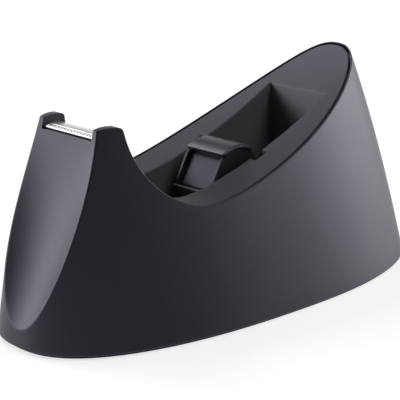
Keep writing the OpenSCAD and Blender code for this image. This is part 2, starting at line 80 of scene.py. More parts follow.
def bulge(z):
    """How far the back stands out at a height."""
    return 4 * BULGE * z / TIP_Z * (1 - z / TIP_Z)


def wall_at(theta, z, inset=0.0):
    """Place (x, half width) of the leaning wall, or of a wall inset from it, at a height."""
    height, middle = apex(inset)
    u, v = egg(theta)
    x = middle + ((HALF_LEN - inset) * u - middle) * (1 - z / height) + bulge(z) * np.maximum(u, 0) ** 2
    return x, v * (HALF_WID - inset - z * SIDE)


def share_of_length(x, z, inset):
    """The unit outline's half length at which the wall passes through x at height z."""
    height, middle = apex(inset)
    ahead = x - middle * z / height
    straight = (HALF_LEN - inset) * (1 - z / height)
    return 2 * ahead / (straight + np.sqrt(straight ** 2 + 4 * bulge(z) * np.maximum(ahead, 0)))


def wall_angle(x, z, inset):
    """The outline angle at which the wall passes through x at height z."""
    u = share_of_length(x, z, inset)
    return np.arccos(np.clip(np.sign(u) * np.abs(u) ** (POWER / 2), -1, 1))


def half_width(x, z, inset):
    """Half width of the wall where it passes through x at height z."""
    return wall_at(wall_angle(x, z, inset), z, inset)[1]


def solve(low, high, rises):
    """Bisection on arrays: where rises() turns from negative to positive."""
    low, high = np.array(low, float), np.array(high, float)
    for _ in range(46):
        middle = (low + high) / 2
        up = rises(middle) > 0
        high = np.where(up, middle, high)
        low = np.where(up, low, middle)
    return (low + high) / 2


def bezier(points, t):
    """Points on a curve with one or two pull points, for shares t of its way."""
    t = np.asarray(t)[:, None]
    rest = 1 - t
    if len(points) == 3:
        return rest ** 2 * points[0] + 2 * rest * t * points[1] + t ** 2 * points[2]
    return (rest ** 3 * points[0] + 3 * rest ** 2 * t * points[1]
            + 3 * rest * t ** 2 * points[2] + t ** 3 * points[3])


def on_circle(centre, radius, angles):
    """Points of a circle in side view, for angles in degrees from the back upwards."""
    a = np.radians(np.atleast_1d(angles))
    return centre + radius * np.stack([np.cos(a), np.sin(a)], 1)


tower_back = on_circle(CROWN, CHEEK_R, CHEEK_END)[0]
fall_pull = on_circle(0, FALL_PULL, FALL_LEAN - 90)[0]
fall = [tower_back, tower_back + fall_pull, SADDLE - [SADDLE_PULL, 0], SADDLE]
rise = [SADDLE, SADDLE + [RISE_PULL, 0], TIP - on_circle(0, TIP_PULL, TIP_SLOPE)[0], TIP]
fall_line, rise_line = bezier(fall, np.linspace(0, 1, 300)), bezier(rise, np.linspace(0, 1, 400))
cheek_top = on_circle(CROWN, CHEEK_R, np.linspace(CHEEK_START, CHEEK_END + CHEEK_CORNER, 60))
soft_corner = bezier([cheek_top[-1], tower_back, fall_line[6]], np.linspace(0, 1, 20))
past_tip = TIP + on_circle(0, 12, TIP_SLOPE)
side_line = np.concatenate([cheek_top[:-1], soft_corner, fall_line[7:], rise_line[1:], past_tip])


def side_z(x):
    """Height of the saddle-shaped top over x."""
    return np.interp(x, side_line[:, 0], side_line[:, 1])


def scoop_at(y, z):
    """Front face of the tongue: a spoon that is hollow below and nearly flat at its top."""
    down = SCOOP_TOP - z
    share = down / (SCOOP_TOP - SCOOP_END)
    bend = (1 - share) / SCOOP_HEAD_R + share / SCOOP_FOOT_R
    return SCOOP_X - SCOOP_SLOPE * down - down ** 2 / (2 * SCOOP_SIDE_R) - bend * y ** 2 / 2


def unit(v):
    """Vectors brought to length 1."""
    return v / np.linalg.norm(v, axis=-1, keepdims=True)


def resample(points, step, turn_weight=4.0):
    """Spreads points evenly along a line, closer together where it turns."""
    points = points[np.insert(np.linalg.norm(np.diff(points, axis=0), axis=1) > 1e-6, 0, True)]
    way = np.diff(points, axis=0)
    length = np.linalg.norm(way, axis=1)
    turn = np.zeros(len(length))
    turn[1:] = np.arccos(np.clip((unit(way)[1:] * unit(way)[:-1]).sum(1), -1, 1))
    along = np.concatenate([[0], np.cumsum(length + turn_weight * turn)])
    count = max(2, round(along[-1] / step))
    spots = np.linspace(0, along[-1], count + 1)
    return np.stack([np.interp(spots, along, points[:, i]) for i in range(points.shape[1])], 1)


def rim_line(inset, x_start):
    """Top edge of a leaning wall on its near side, from x_start back to the tip at y = 0."""
    turn_x = 30.0                          # from here on the line is followed by angle, not by x
    xs = side_line[(side_line[:, 0] > x_start) & (side_line[:, 0] < turn_x), 0]
    zs = side_z(xs)
    front = np.stack([xs, half_width(xs, zs, inset), zs], 1)
    theta = wall_angle(turn_x, side_z(turn_x), inset) * np.cos(np.linspace(0, pi / 2, 500))
    z = solve(0 * theta + 30, 0 * theta + 75, lambda h: h - side_z(wall_at(theta, h, inset)[0]))
    x, y = wall_at(theta, z, inset)
    return np.concatenate([front, np.stack([x, y, z], 1)])


def tangents(line):
    """Direction of a line at each of its points."""
    return unit(np.gradient(line, axis=0))


def wall_normal(points, inset=0.0):
    """Which way the leaning wall faces at points on it; the next two do so for top and scoop."""
    theta = np.clip(wall_angle(points[:, 0], points[:, 2], inset), 1e-3, pi - 1e-3)
    d_theta = np.stack([*wall_at(theta + 1e-4, points[:, 2], inset), points[:, 2]], 1) - np.stack(
        [*wall_at(theta - 1e-4, points[:, 2], inset), points[:, 2]], 1)
    d_z = np.stack([*wall_at(theta, points[:, 2] + 0.1, inset), points[:, 2] + 0.1], 1) - np.stack(
        [*wall_at(theta, points[:, 2] - 0.1, inset), points[:, 2] - 0.1], 1)
    return unit(np.cross(d_theta, d_z))


def top_normal(points):
    slope = (side_z(points[:, 0] + 0.02) - side_z(points[:, 0] - 0.02)) / 0.04
    return unit(np.stack([-slope, 0 * slope, 0 * slope + 1], 1))


def scoop_normal(points):
    y, z = points[:, 1], points[:, 2]
    dy = (scoop_at(y + 0.05, z) - scoop_at(y - 0.05, z)) / 0.1
    dz = (scoop_at(y, z + 0.05) - scoop_at(y, z - 0.05)) / 0.1
    return unit(np.stack([0 * y - 1, dy, dz], 1))


def fillet(edge, side_a, side_b, steps=5):
    """Rows of points that round an edge off, from its face A to its face B."""
    t = np.linspace(0, 1, steps + 1)[:, None, None]
    return (1 - t) ** 2 * side_a + 2 * t * (1 - t) * edge + t ** 2 * side_b


def wall_angle_at(points, inset=0.0):
    """The outline angle of points on the wall, from both their length and their width."""
    x, y, z = points[:, 0], np.abs(points[:, 1]), points[:, 2]
    u = share_of_length(x, z, inset)
    v = y / (HALF_WID - inset - z * SIDE) / (1 + SWELL * u)
    return np.arctan2(v ** (POWER / 2), np.sign(u) * np.abs(u) ** (POWER / 2))


def wall_points(theta, z, inset=0.0):
    """Points on the wall for outline angles and heights."""
    x, y = wall_at(theta, z, inset)
    return np.stack([x, y, z + 0 * x], -1)


def across(line, columns=2):
    """Rows from a line on the far side straight over to its mirror image on the near side."""
    v = np.linspace(1, -1, columns)
    rows = np.repeat(line[None], columns, 0)
    rows[:, :, 1] *= v[:, None]
    return rows


def solid(name, grids):
    """One closed mesh, in millimetres, from grids of points that share their edges."""
    mesh = bmesh.new()
    for grid in grids:
        points = [[mesh.verts.new(p) for p in row] for row in np.asarray(grid)]
        for low, high in zip(points, points[1:]):
            for j in range(len(low) - 1):
                mesh.faces.new((low[j], low[j + 1], high[j + 1], high[j]))
    bmesh.ops.remove_doubles(mesh, verts=mesh.verts, dist=1e-3)
    bmesh.ops.dissolve_degenerate(mesh, edges=mesh.edges, dist=1e-4)
    bmesh.ops.holes_fill(mesh, edges=[e for e in mesh.edges if e.is_boundary], sides=0)
    bmesh.ops.recalc_face_normals(mesh, faces=mesh.faces)
    data = bpy.data.meshes.new(name)
    mesh.to_mesh(data)
    mesh.free()
    piece = bpy.data.objects.new(name, data)
    bpy.context.scene.collection.objects.link(piece)
    return piece


def cut(piece, tool, how="DIFFERENCE"):
    """Cuts or joins one closed mesh with another, and removes the tool."""
    step = piece.modifiers.new("cut", "BOOLEAN")
    step.operation, step.object, step.solver = how, tool, "MANIFOLD"
    bpy.context.view_layer.update()
    made = bpy.data.meshes.new_from_object(piece.evaluated_get(bpy.context.evaluated_depsgraph_get()))
    piece.modifiers.clear()
    piece.data = made
    bpy.data.objects.remove(tool)
    return piece


def block(low, high):
    """Plain box, used only as a cutting tool."""
    (x0, y0, z0), (x1, y1, z1) = low, high
    grid = [[(x, y, z) for x, y in ((x0, y0), (x1, y0), (x1, y1), (x0, y1), (x0, y0))] for z in (z0, z1)]
    return solid("tool", [grid])


def leaning(inset, z0, z1, columns=240):
    """Closed block inside the leaning wall, between two heights."""
    theta = np.linspace(0, 2 * pi, columns + 1)
    u, v = np.cos(theta), np.sin(theta)
    rings = []
    for z in np.linspace(z0, z1, max(2, round((z1 - z0) / 3))):
        x, y = wall_at(np.arccos(np.clip(u, -1, 1)), z, inset)
        rings.append(np.stack([x, y * np.sign(np.round(v, 9)), z + 0 * x], 1))
    return solid("tool", [rings])


def prism(outline, y0, y1):
    """Solid between two copies of a side view (x, z), at y0 and y1."""
    outline = np.asarray(outline)
    ring = np.concatenate([outline, outline[:1]])
    return solid("tool", [[np.insert(ring, 1, y, axis=1) for y in (y0, y1)]])


def ridge_point(z):
    """Where wall and scoop meet at a height: the ridge from the scoop's foot up to a cheek."""
    theta = solve(0 * z + pi / 2, 0 * z + pi, lambda a: scoop_at(wall_at(a, z)[1], z) - wall_at(a, z)[0])
    return wall_points(theta, z)


scoop_foot = solve(4, 10, lambda z: scoop_at(0, z) - wall_at(pi, z)[0])
ridge_top = solve([58.0], [60.5], lambda z: z - side_z(ridge_point(z)[:, 0]))[0]
ridge = ridge_point(scoop_foot + (ridge_top - scoop_foot) * np.linspace(0, 1, 1500) ** 2)
ridge[0, 1] = 0
corner_point = ridge[-1]
rim = rim_line(0, corner_point[0] + 0.02)
rim = np.concatenate([[corner_point], rim])
ridge, rim = resample(ridge, EDGE_STEP), resample(rim, EDGE_STEP)


def offsets(line, normal, other_normal, r_wall, r_other, start=None, end=None):
    """The line moved along its wall and along its other face, for a fillet of that size."""
    way = tangents(line)
    if start is not None:
        way[0] = start
    if end is not None:
        way[-1] = end
    return line + r_wall * unit(np.cross(normal, way)), line + r_other * unit(np.cross(way, other_normal))


ridge_wall, ridge_tongue = offsets(ridge, wall_normal(ridge), scoop_normal(ridge), RIDGE_ROUND, RIDGE_ROUND,
                                   start=(0, 1, 0))
rim_wall, rim_top = offsets(rim, wall_normal(rim), top_normal(rim), RIM_ROUND, RIM_ROUND, end=(0, -1, 0))
rim_wall[-1, 1] = rim_top[-1, 1] = 0
up, back = tangents(ridge)[-1], tangents(rim)[0]
n_wall = wall_normal(corner_point[None])[0]
n_top, n_scoop = top_normal(corner_point[None])[0], scoop_normal(corner_point[None])[0]


def mitre(a, b, r):
    """Step from a corner into a face, at r from the edges that run along a and b."""
    return r * (unit(a) + unit(b)) / (1 + (unit(a) * unit(b)).sum())


inward = unit(np.cross(n_top, n_scoop))
inward = -inward * np.sign(inward[1])
corner_wall = corner_point + mitre(np.cross(n_wall, up), np.cross(n_wall, back), CORNER_ROUND)
corner_tongue = corner_point + mitre(np.cross(up, n_scoop), np.cross(inward, n_scoop), CORNER_ROUND)
corner_top = corner_point + mitre(np.cross(back, n_top), np.cross(n_top, inward), CORNER_ROUND)

# stations next to the corner give way to it
CLEAR = 0.7
ridge_stays = (ridge - corner_point) @ up < -CLEAR
rim_stays = (rim - corner_point) @ back > CLEAR
ridge_end = corner_point + up * ((corner_wall - corner_point) @ up)
rim_start = corner_point + back * ((corner_wall - corner_point) @ back)


def ended(rows, stays, end_row, at_end):
    """Rows without the stations that give way, and with the corner's own in their place."""
    rows = rows[:, stays]
    end_row = end_row[:, None]
    return np.concatenate([rows, end_row] if at_end else [end_row, rows], 1)


def arc(edge, a, b):
    """One station of a fillet."""
    return fillet(edge[None], a[None], b[None])[:, 0]


ridge_round = ended(fillet(ridge, ridge_wall, ridge_tongue), ridge_stays,
                    arc(ridge_end, corner_wall, corner_tongue), True)
rim_round = ended(fillet(rim, rim_wall, rim_top), rim_stays,
                  arc(rim_start, corner_wall, corner_top), False)
top_of_wall = np.concatenate([ridge_round[0], rim_round[0][1:]])
theta = wall_angle_at(top_of_wall)
theta[0], theta[-1] = pi, 0
foot = FOOT_Z + FOOT_ROUND
wall_rows = [top_of_wall]
WALL_ROWS = 14
for k in range(1, WALL_ROWS + 1):
    share = k / WALL_ROWS
    wall_rows.append(wall_points(theta, top_of_wall[:, 2] * (1 - share) + foot * share))
wall_rows = np.array(wall_rows)
foot_edge = wall_points(theta, 0 * theta + FOOT_Z)
foot_in = wall_points(theta, 0 * theta + FOOT_Z, FOOT_ROUND)
foot_round = fillet(foot_edge, wall_rows[-1], foot_in, 3)

# the tongue: rows straight across at each height of the ridges
COLUMNS = 33
v = np.linspace(1, -1, COLUMNS)
tongue = across(ridge_round[-1], COLUMNS)
tongue_x = scoop_at(tongue[:, :, 1], tongue[:, :, 2])
tongue[1:-1, :, 0] = tongue_x[1:-1]
y_edge = v * corner_point[1]
z_edge = solve(0 * v + 58, 0 * v + 61, lambda z: z - side_z(scoop_at(y_edge, z)))
edge = np.stack([scoop_at(y_edge, z_edge), y_edge, z_edge], 1)
tongue_end = tongue[:, -1].copy()
drop = corner_point[2] - corner_tongue[2]
tongue_end[1:-1, 2] = z_edge[1:-1] - drop
tongue_end[1:-1, 0] = scoop_at(tongue_end[1:-1, 1], tongue_end[1:-1, 2])
tongue = np.concatenate([tongue[:, :-1], tongue_end[:, None]], 1)
top = across(rim_round[-1], COLUMNS)
behind = corner_top[0] - corner_point[0]
top[1:-1, 0, 0] = edge[1:-1, 0] + behind
top[1:-1, 0, 2] = side_z(top[1:-1, 0, 0])
brow = fillet(edge, tongue[:, -1], top[:, 0])
sides = [wall_rows, wall_rows[:, ::-1] * [1, -1, 1]]
for rows in (ridge_round, rim_round, foot_round):
    sides += [rows, rows * [1, -1, 1]]
blank = solid("body_shell_look", sides + [tongue, top, brow, across(foot_in)])


def offset_line(line, depth):
    """Side view of the top moved down into the body."""
    way = unit(np.gradient(line, axis=0))
    return line + depth * np.stack([way[:, 1], -way[:, 0]], 1)


def under_top(depth):
    """Solid under the top, or under the top moved down by depth."""
    reach, low = 80, -5                    # past the body
    bottom = [[reach, low], [-reach, low], [-reach, TOWER[1] + 0.5]]
    behind_tower = offset_line(np.concatenate([fall_line, rise_line[1:]]), depth)
    r = CHEEK_R - depth
    if depth:
        crossing = degrees(acos((behind_tower[0, 0] + 0.12 - CROWN[0]) / r))
        round_top = on_circle(CROWN, r, np.linspace(CHEEK_START, crossing, 40))
        first = np.argmax(behind_tower[:, 1] < round_top[-1, 1] - 0.05)
        line = np.concatenate([round_top, behind_tower[first:]])
    else:
        line = side_line
    end = line[-1] + on_circle(0, 20, TIP_SLOPE)
    return prism(np.concatenate([bottom, line[:1] - 1e-3, line, end]), -FAR, FAR)


def cheek_zones(gap):
    """The two spaces beside the cutter in which the body's wall thickens to a cheek."""
    return [block((-ABOVE, side * (CHEEK_IN - gap), CHEEK_FOOT), (CHEEK_BACK, side * FAR, ABOVE))
            for side in (1, -1)]


def scoop_solid(depth):
    """Everything in front of the scoop, or in front of the scoop moved back by depth."""
    half, low, high, front = 18, 3, 63, -95    # how far the tool reaches
    grid = np.array([[(scoop_at(y, z) + depth, y, z) for y in np.linspace(-half, half, 41)]
                     for z in np.linspace(low, high, 60)])
    ahead = grid.copy()
    ahead[:, :, 0] = front
    ends = [np.stack([grid[k], ahead[k]]) for k in (0, -1)]
    sides = [np.stack([grid[:, k], ahead[:, k]]) for k in (0, -1)]
    return solid("tool", [grid, ahead[:, ::-1], *ends, *sides])


hollow = cut(leaning(WALL, -1, ABOVE), scoop_solid(WALL))
opening = cut(leaning(LIP, SKIRT_Z, ABOVE), under_top(SKIN))
for zone in cheek_zones(0):
    hollow = cut(hollow, zone)
for zone in cheek_zones(0):
    opening = cut(opening, zone)
shell = cut(blank, hollow)
shell = cut(shell, opening)
shell = cut(shell, block((THROAT_X, -CHEEK_IN, SCOOP_TOP), (THROAT_END, CHEEK_IN, ABOVE)))
shell = cut(shell, leaning(PLATE_GAP, -1, PLATE_TOP))


def linear(colour):
    """Turns an sRGB hex colour into the linear one that a shader takes."""
    parts = [int(colour[i:i + 2], 16) / 255 for i in (1, 3, 5)]
    return [c / 12.92 if c <= 0.04045 else ((c + 0.055) / 1.055) ** 2.4 for c in parts] + [1]


def add(tree, kind, inputs=(), **settings):
    """Adds one node with its settings; an input is either a value or another node's socket."""
    made = tree.nodes.new(kind)
    for name, value in settings.items():
        setattr(made, name, value)
    for key, value in dict(inputs).items():
        if isinstance(value, bpy.types.NodeSocket):
            tree.links.new(value, made.inputs[key])
        else:
            made.inputs[key].default_value = value
    return made


def surface(name, **inputs):
    """A new material: its tree, and the shader with the given constants."""
    made = bpy.data.materials.new(name)
    made.use_nodes = True
    shader = made.node_tree.nodes["Principled BSDF"]
    for key, value in inputs.items():
        shader.inputs[key.replace("_", " ")].default_value = value
    return made, made.node_tree, shader


def grained_abs(name, dark, light, grain_mm, height_mm, roughness):
    """Moulded ABS with a spark-eroded grain: it scatters highlights into a soft grey sheen. The
    real grain is finer, and is drawn as coarse as it needs to show."""
    patch_mm = 25                          # the sheen is a little uneven, in patches of this size
    made, tree, shader = surface(name, IOR=1.53, Specular_Tint=linear("#e2e3ff"))
    place = add(tree, "ShaderNodeTexCoord").outputs["Object"]
    grain = add(tree, "ShaderNodeTexNoise", {"Vector": place, "Scale": 1000 / grain_mm, "Detail": 3.0,
                                            "Roughness": 0.6})
    patches = add(tree, "ShaderNodeTexNoise", {"Vector": place, "Scale": 1000 / patch_mm, "Detail": 2.0})
    shade = add(tree, "ShaderNodeMapRange", {"Value": grain.outputs["Fac"], "From Min": 0.35,
                                            "From Max": 0.65})
    colour = add(tree, "ShaderNodeMix", {0: shade.outputs[0], 6: linear(dark), 7: linear(light)},
                 data_type="RGBA")
    rough = add(tree, "ShaderNodeMapRange", {"Value": patches.outputs["Fac"], "To Min": roughness - 0.03,
                                            "To Max": roughness + 0.03})
    bump = add(tree, "ShaderNodeBump", {"Height": grain.outputs["Fac"], "Distance": height_mm / 1000,
                                        "Strength": 1.0})
    tree.links.new(colour.outputs[2], shader.inputs["Base Color"])
    tree.links.new(rough.outputs[0], shader.inputs["Roughness"])
    tree.links.new(bump.outputs[0], shader.inputs["Normal"])
    return made


def finished(piece, material):
    """Turns a piece's millimetres into metres, and gives it its material and its shading."""
    piece.data.transform(Matrix.Scale(0.001, 4))
    piece.data.materials.clear()
    piece.data.materials.append(material)
    piece.data.shade_smooth()
    piece.data.set_sharp_from_angle(angle=radians(30))
    even = piece.modifiers.new("even", "WEIGHTED_NORMAL")
    even.keep_sharp = True
    bpy.context.view_layer.update()
    made = bpy.data.meshes.new_from_object(piece.evaluated_get(bpy.context.evaluated_depsgraph_get()))
    piece.modifiers.clear()
    piece.data = made
    return piece


shell_abs = grained_abs("black_abs_spark_eroded", "#100e12", "#18161a", 0.32, 0.04, 0.45)
finished(shell, shell_abs)
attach(shell, "body")
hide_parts("body_shell")

# ---- Top cover -----------------------------------------------------------------------------
# The saddle-shaped cover inside the lip: black ABS moulded in one with the roll pocket, the
# bosses of the two axle slots, the four screw posts and the seat of the cutter.
COVER_IN, COVER_ROUND, MOUTH_ROUND = 1.2, 0.3, 0.45
COVER_START, COVER_FRONT, COVER_STEP = -47.5, -60, 0.7     # starts of its edge and of the blank; spacing
SKIN_BACK, FIT = -44.2, 0.2                # where the skin starts behind the cutter; clearance of fits
HUB = np.array([3.5, 32.0])                # hub axle, in side view
POCKET_HALF, POCKET_FRONT, POCKET_BACK = 11.6, -31.0, 38.7
POCKET_CORNER, POCKET_WALL, POCKET_FLOOR, FLOOR_Z = 13.6, 2.0, 1.5, 4.4
SLOT_WID, SLOT_Y, SLOT_LEAN, SLOT_WALL, SLOT_SIDE = 4.4, 14.0, 70.0, 1.6, 2.2
SEAT_OUT, SEAT_UP, FLANGE_OUT = 0.9, 1.5, 3.05
BLADE_R, BLADE_T, LAND_UP = 7.5, 0.5, 5.5
LAND = TOWER + [0, LAND_UP - BLADE_R]          # centre of the land that the tape rests on
STAKE_DIA, STAKE_Y, STAKE_UP, STAKE_HEAD_DIA, STAKE_HEAD_T = 2.0, 6.0, 2.9, 3.0, 0.35
POSTS = [(x, side * y) for x, y in ((-38.2, 10.0), (45.9, 8.5)) for side in (1, -1)]
POST_DIA, POST_BORE, POST_Z, SCREW_LEN = 7.0, 2.9, 4.4, 11.0

edge_line = resample(rim_line(COVER_IN, COVER_START), COVER_STEP)
edge_wall, edge_top = offsets(edge_line, wall_normal(edge_line, COVER_IN), top_normal(edge_line),
                              COVER_ROUND, COVER_ROUND, end=(0, -1, 0))
edge_wall[-1, 1] = edge_top[-1, 1] = 0
edge_round = fillet(edge_line, edge_wall, edge_top)
ahead = edge_round[:, :1] * [0, 1, 1] + [COVER_FRONT, 0, 0]
edge_round = np.concatenate([ahead, edge_round], 1)
theta = wall_angle_at(edge_wall, COVER_IN)
theta[-1] = 0
sides = [np.concatenate([ahead[0], edge_wall])]
for share in (0.02, 0.3, 0.65, 1):
    level = wall_points(theta, edge_wall[:, 2] * (1 - share) + SKIRT_Z * share, COVER_IN)
    start = level[:1] * [0, 1, 1] + [COVER_FRONT, 0, 0]
    sides.append(np.concatenate([start, level]))
sides = np.array(sides)
cover = solid("top_cover_look", [sides, sides * [1, -1, 1], edge_round, edge_round * [1, -1, 1],
                                 across(edge_round[-1], 41), across(sides[-1]),
                                 across(np.concatenate([edge_round[::-1, 0], sides[1:, 0]]))])


def pocket_outline(t, down):
    """Side view of the pocket, grown by t on its walls and by down on its floor."""
    r = POCKET_CORNER + t
    low, x0, x1 = FLOOR_Z - down, POCKET_FRONT - t, POCKET_BACK + t
    return np.concatenate([[[x0, ABOVE]], on_circle((x0 + r, low + r), r, np.linspace(180, 270, 25)),
                           on_circle((x1 - r, low + r), r, np.linspace(270, 360, 25)), [[x1, ABOVE]]])


def slot_outline(half, reach=30.0):
    """Side view of a bar from the axle up along the slots, with a round lower end."""
    up = on_circle(0, 1, SLOT_LEAN)[0]
    right = on_circle(0, 1, SLOT_LEAN - 90)[0]
    return np.concatenate([on_circle(HUB, half, np.linspace(SLOT_LEAN + 90, SLOT_LEAN + 270, 25)),
                           [HUB + half * right + reach * up, HUB - half * right + reach * up]])


def rod(start, end, diameter, sides=48):
    """Round bar between two points, used as a tool or as a plain post."""
    start, end = Vector(start), Vector(end)
    turn = (end - start).to_track_quat("Z", "Y")
    ring = [Vector((cos(a), sin(a), 0)) * diameter / 2 for a in np.linspace(0, 2 * pi, sides + 1)]
    return solid("tool", [[[tuple(p + turn @ q) for q in ring] for p in (start, end)]])


tub_half, slot_half = POCKET_HALF + POCKET_WALL, SLOT_Y + SLOT_WALL
tub = prism(pocket_outline(POCKET_WALL, POCKET_FLOOR), -tub_half, tub_half)
tub = cut(tub, prism(slot_outline(SLOT_WID / 2 + SLOT_SIDE), -slot_half, slot_half), "UNION")
for x, y in POSTS:
    tub = cut(tub, rod((x, y, POST_Z), (x, y, ABOVE), POST_DIA), "UNION")
tub = cut(tub, under_top(SKIN / 2), "INTERSECT")
cover = cut(cover, under_top(SKIN))
for zone in cheek_zones(FIT):
    cover = cut(cover, zone)
cover = cut(cover, block((THROAT_X, -FAR, TOWER[1] + SEAT_UP), (SKIN_BACK, FAR, ABOVE)))
cover = cut(cover, tub, "UNION")
seat_half = CHEEK_IN - FIT
seat = prism(on_circle(LAND, BLADE_R - BLADE_T, np.linspace(0, 360, 97)[:-1]), -seat_half, seat_half)
seat_space = block((TOWER[0] - SEAT_OUT, -FAR, CHEEK_FOOT), (TOWER[0] + FLANGE_OUT, FAR, ABOVE))
cover = cut(cover, cut(seat, seat_space, "INTERSECT"), "UNION")
cover = cut(cover, prism(pocket_outline(0, 0), -POCKET_HALF, POCKET_HALF))
cover = cut(cover, prism(slot_outline(SLOT_WID / 2), -SLOT_Y, SLOT_Y))
for x, y in POSTS:
    cover = cut(cover, rod((x, y, 2), (x, y, PLATE_TOP + SCREW_LEN + 1), POST_BORE))
STAKES = [(TOWER[0] + FLANGE_OUT, side * STAKE_Y, TOWER[1] + STAKE_UP) for side in (1, -1)]
for x, y, z in STAKES:
    cover = cut(cover, rod((x - BLADE_T, y, z), (x + BLADE_T + 0.01, y, z), STAKE_DIA), "UNION")
    head = rod((x + BLADE_T, y, z), (x + BLADE_T + STAKE_HEAD_T, y, z), STAKE_HEAD_DIA)
    cover = cut(cover, head, "UNION")


def slot_meets_top(half):
    """Where one side of the slots comes out of the top."""
    up = on_circle(0, 1, SLOT_LEAN)[0]
    start = HUB + half * on_circle(0, 1, SLOT_LEAN - 90)[0]
    t = solve([0.0], [30.0], lambda t: start[1] + t * up[1] - side_z(start[0] + t * up[0]))[0]
    return start[0] + t * up[0]


def mouth(radius):
    """Tool that rounds the mouth of the pocket, all round and into the two slots."""
    x0, x1 = slot_meets_top(-SLOT_WID / 2), slot_meets_top(SLOT_WID / 2)
    plan = [(POCKET_FRONT, -1, 0), (x0, -1, 1), (x0, -1, 1), (x1, 1, 1), (x1, 1, 1), (POCKET_BACK, 1, 0)]
    y = [POCKET_HALF, POCKET_HALF, SLOT_Y, SLOT_Y, POCKET_HALF, POCKET_HALF]
    lean = np.array([-cos(radians(SLOT_LEAN)), 0, -sin(radians(SLOT_LEAN))])
    loop = []
    half = [(x, b, way, leans) for (x, way, leans), b in zip(plan, y)]
    corners = half + [(x, -b, way, leans) for x, b, way, leans in half[::-1]]
    for (xa, ya, way, lean_a), (xb, yb, _, lean_b) in zip(corners, corners[1:] + corners[:1]):
        steps = max(1, round(hypot(xb - xa, yb - ya) / COVER_STEP))
        for k in range(steps):
            t = k / steps
            along_x = ya == yb
            loop.append((xa + t * (xb - xa), ya + t * (yb - ya), way if k == 0 or not along_x else 0,
                         np.sign(ya) if k == 0 or along_x else 0, lean_a if t < 0.5 else lean_b))
    sections = []
    for x, b, out_x, out_y, leans in loop + loop[:1]:
        point = np.array([x, b, side_z(x)])
        tangent = unit(np.array([0.02, 0, side_z(x + 0.01) - side_z(x - 0.01)]))
        normal = np.array([-tangent[2], 0, tangent[0]])
        down = lean if leans else np.array([0, 0, -1.0])
        out = radius * (out_x * tangent + [0, out_y, 0])
        inner = radius * np.array([out_x, out_y, 0])
        low = point + radius * down
        t = np.linspace(0, 1, 7)[:, None]
        curve = (1 - t) ** 2 * low + 2 * t * (1 - t) * point + t ** 2 * (point + out)
        above = 0.4 * normal               # the tool stands this much out of the top
        sections.append([*curve, point + out + above, point - inner + above, low - inner, low])
    return solid("tool", [sections])


cover = cut(cover, mouth(MOUTH_ROUND))


def painted_light_in_pocket(material, colour):
    """Painted light: the pocket's walls get a paler, plainer colour than the cover's grain, standing in for
    light that the lamps do not bring into the pocket.
    """
    tree = material.node_tree
    skin = tree.nodes["Principled BSDF"].inputs["Base Color"]
    spot = add(tree, "ShaderNodeSeparateXYZ", {0: add(tree, "ShaderNodeTexCoord").outputs["Object"]}).outputs
    hair = 0.05
    middle, half = (POCKET_FRONT + POCKET_BACK) / 2, (POCKET_BACK - POCKET_FRONT) / 2
    in_x, in_y = (add(tree, "ShaderNodeMath", {0: spot[axis], 1: centre / 1000, 2: (reach + hair) / 1000},
                      operation="COMPARE").outputs[0]
                  for axis, centre, reach in (("X", middle, half), ("Y", 0.0, POCKET_HALF)))
    inside = add(tree, "ShaderNodeMath", {0: in_x, 1: in_y}, operation="MULTIPLY")
    grained = skin.links[0].from_socket
    paler = add(tree, "ShaderNodeMix", {0: inside.outputs[0], 6: grained, 7: linear(colour)},
                data_type="RGBA")
    tree.links.new(paler.outputs[2], skin)


cover_abs = grained_abs("black_abs_fine_grain", "#232325", "#2b2b2e", 0.32, 0.03, 0.48)
# painted light: the pocket's walls are painted this paler grey in place of the light inside the pocket
painted_light_in_pocket(cover_abs, "#68686b")
finished(cover, cover_abs)
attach(cover, "body")
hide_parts("top_cover")

# ---- Cutter --------------------------------------------------------------------------------
# The saw-toothed cutter: spring steel strip, stamped and bent to a round land for the tape. Its
# back flange is held by two plastic stakes, and a groove keeps the tape off the teeth.
BLADE_HALF, END_LEN = 10.2, 0.7
TOOTH_OUT, TOOTH_T, TOOTH_PITCH, TOOTH_H = 3.05, 0.45, 1.3, 0.55
GROOVE_WID, GROOVE_UP, EDGE_UP, FLANGE_UP = 1.0, 4.8, 4.4, 1.5
VALLEY_UP = GROOVE_UP + 0.1
STRIP_ROUND, STAKE_GAP = 0.12, 0.1


def softened(outline, radius):
    """Rounds the sharp corners of a closed outline."""
    outline = np.asarray(outline, float)
    made = []
    for before, point, after in zip(np.roll(outline, 1, 0), outline, np.roll(outline, -1, 0)):
        a, b = before - point, after - point
        turn = pi - acos(np.clip(unit(a) @ unit(b), -1, 1))
        reach = min(radius, np.linalg.norm(a) * 0.45, np.linalg.norm(b) * 0.45)
        curve = bezier([point + reach * unit(a), point, point + reach * unit(b)], np.linspace(0, 1, 5))
        made.extend([point] if turn < radians(25) else curve)
    return np.array(made)


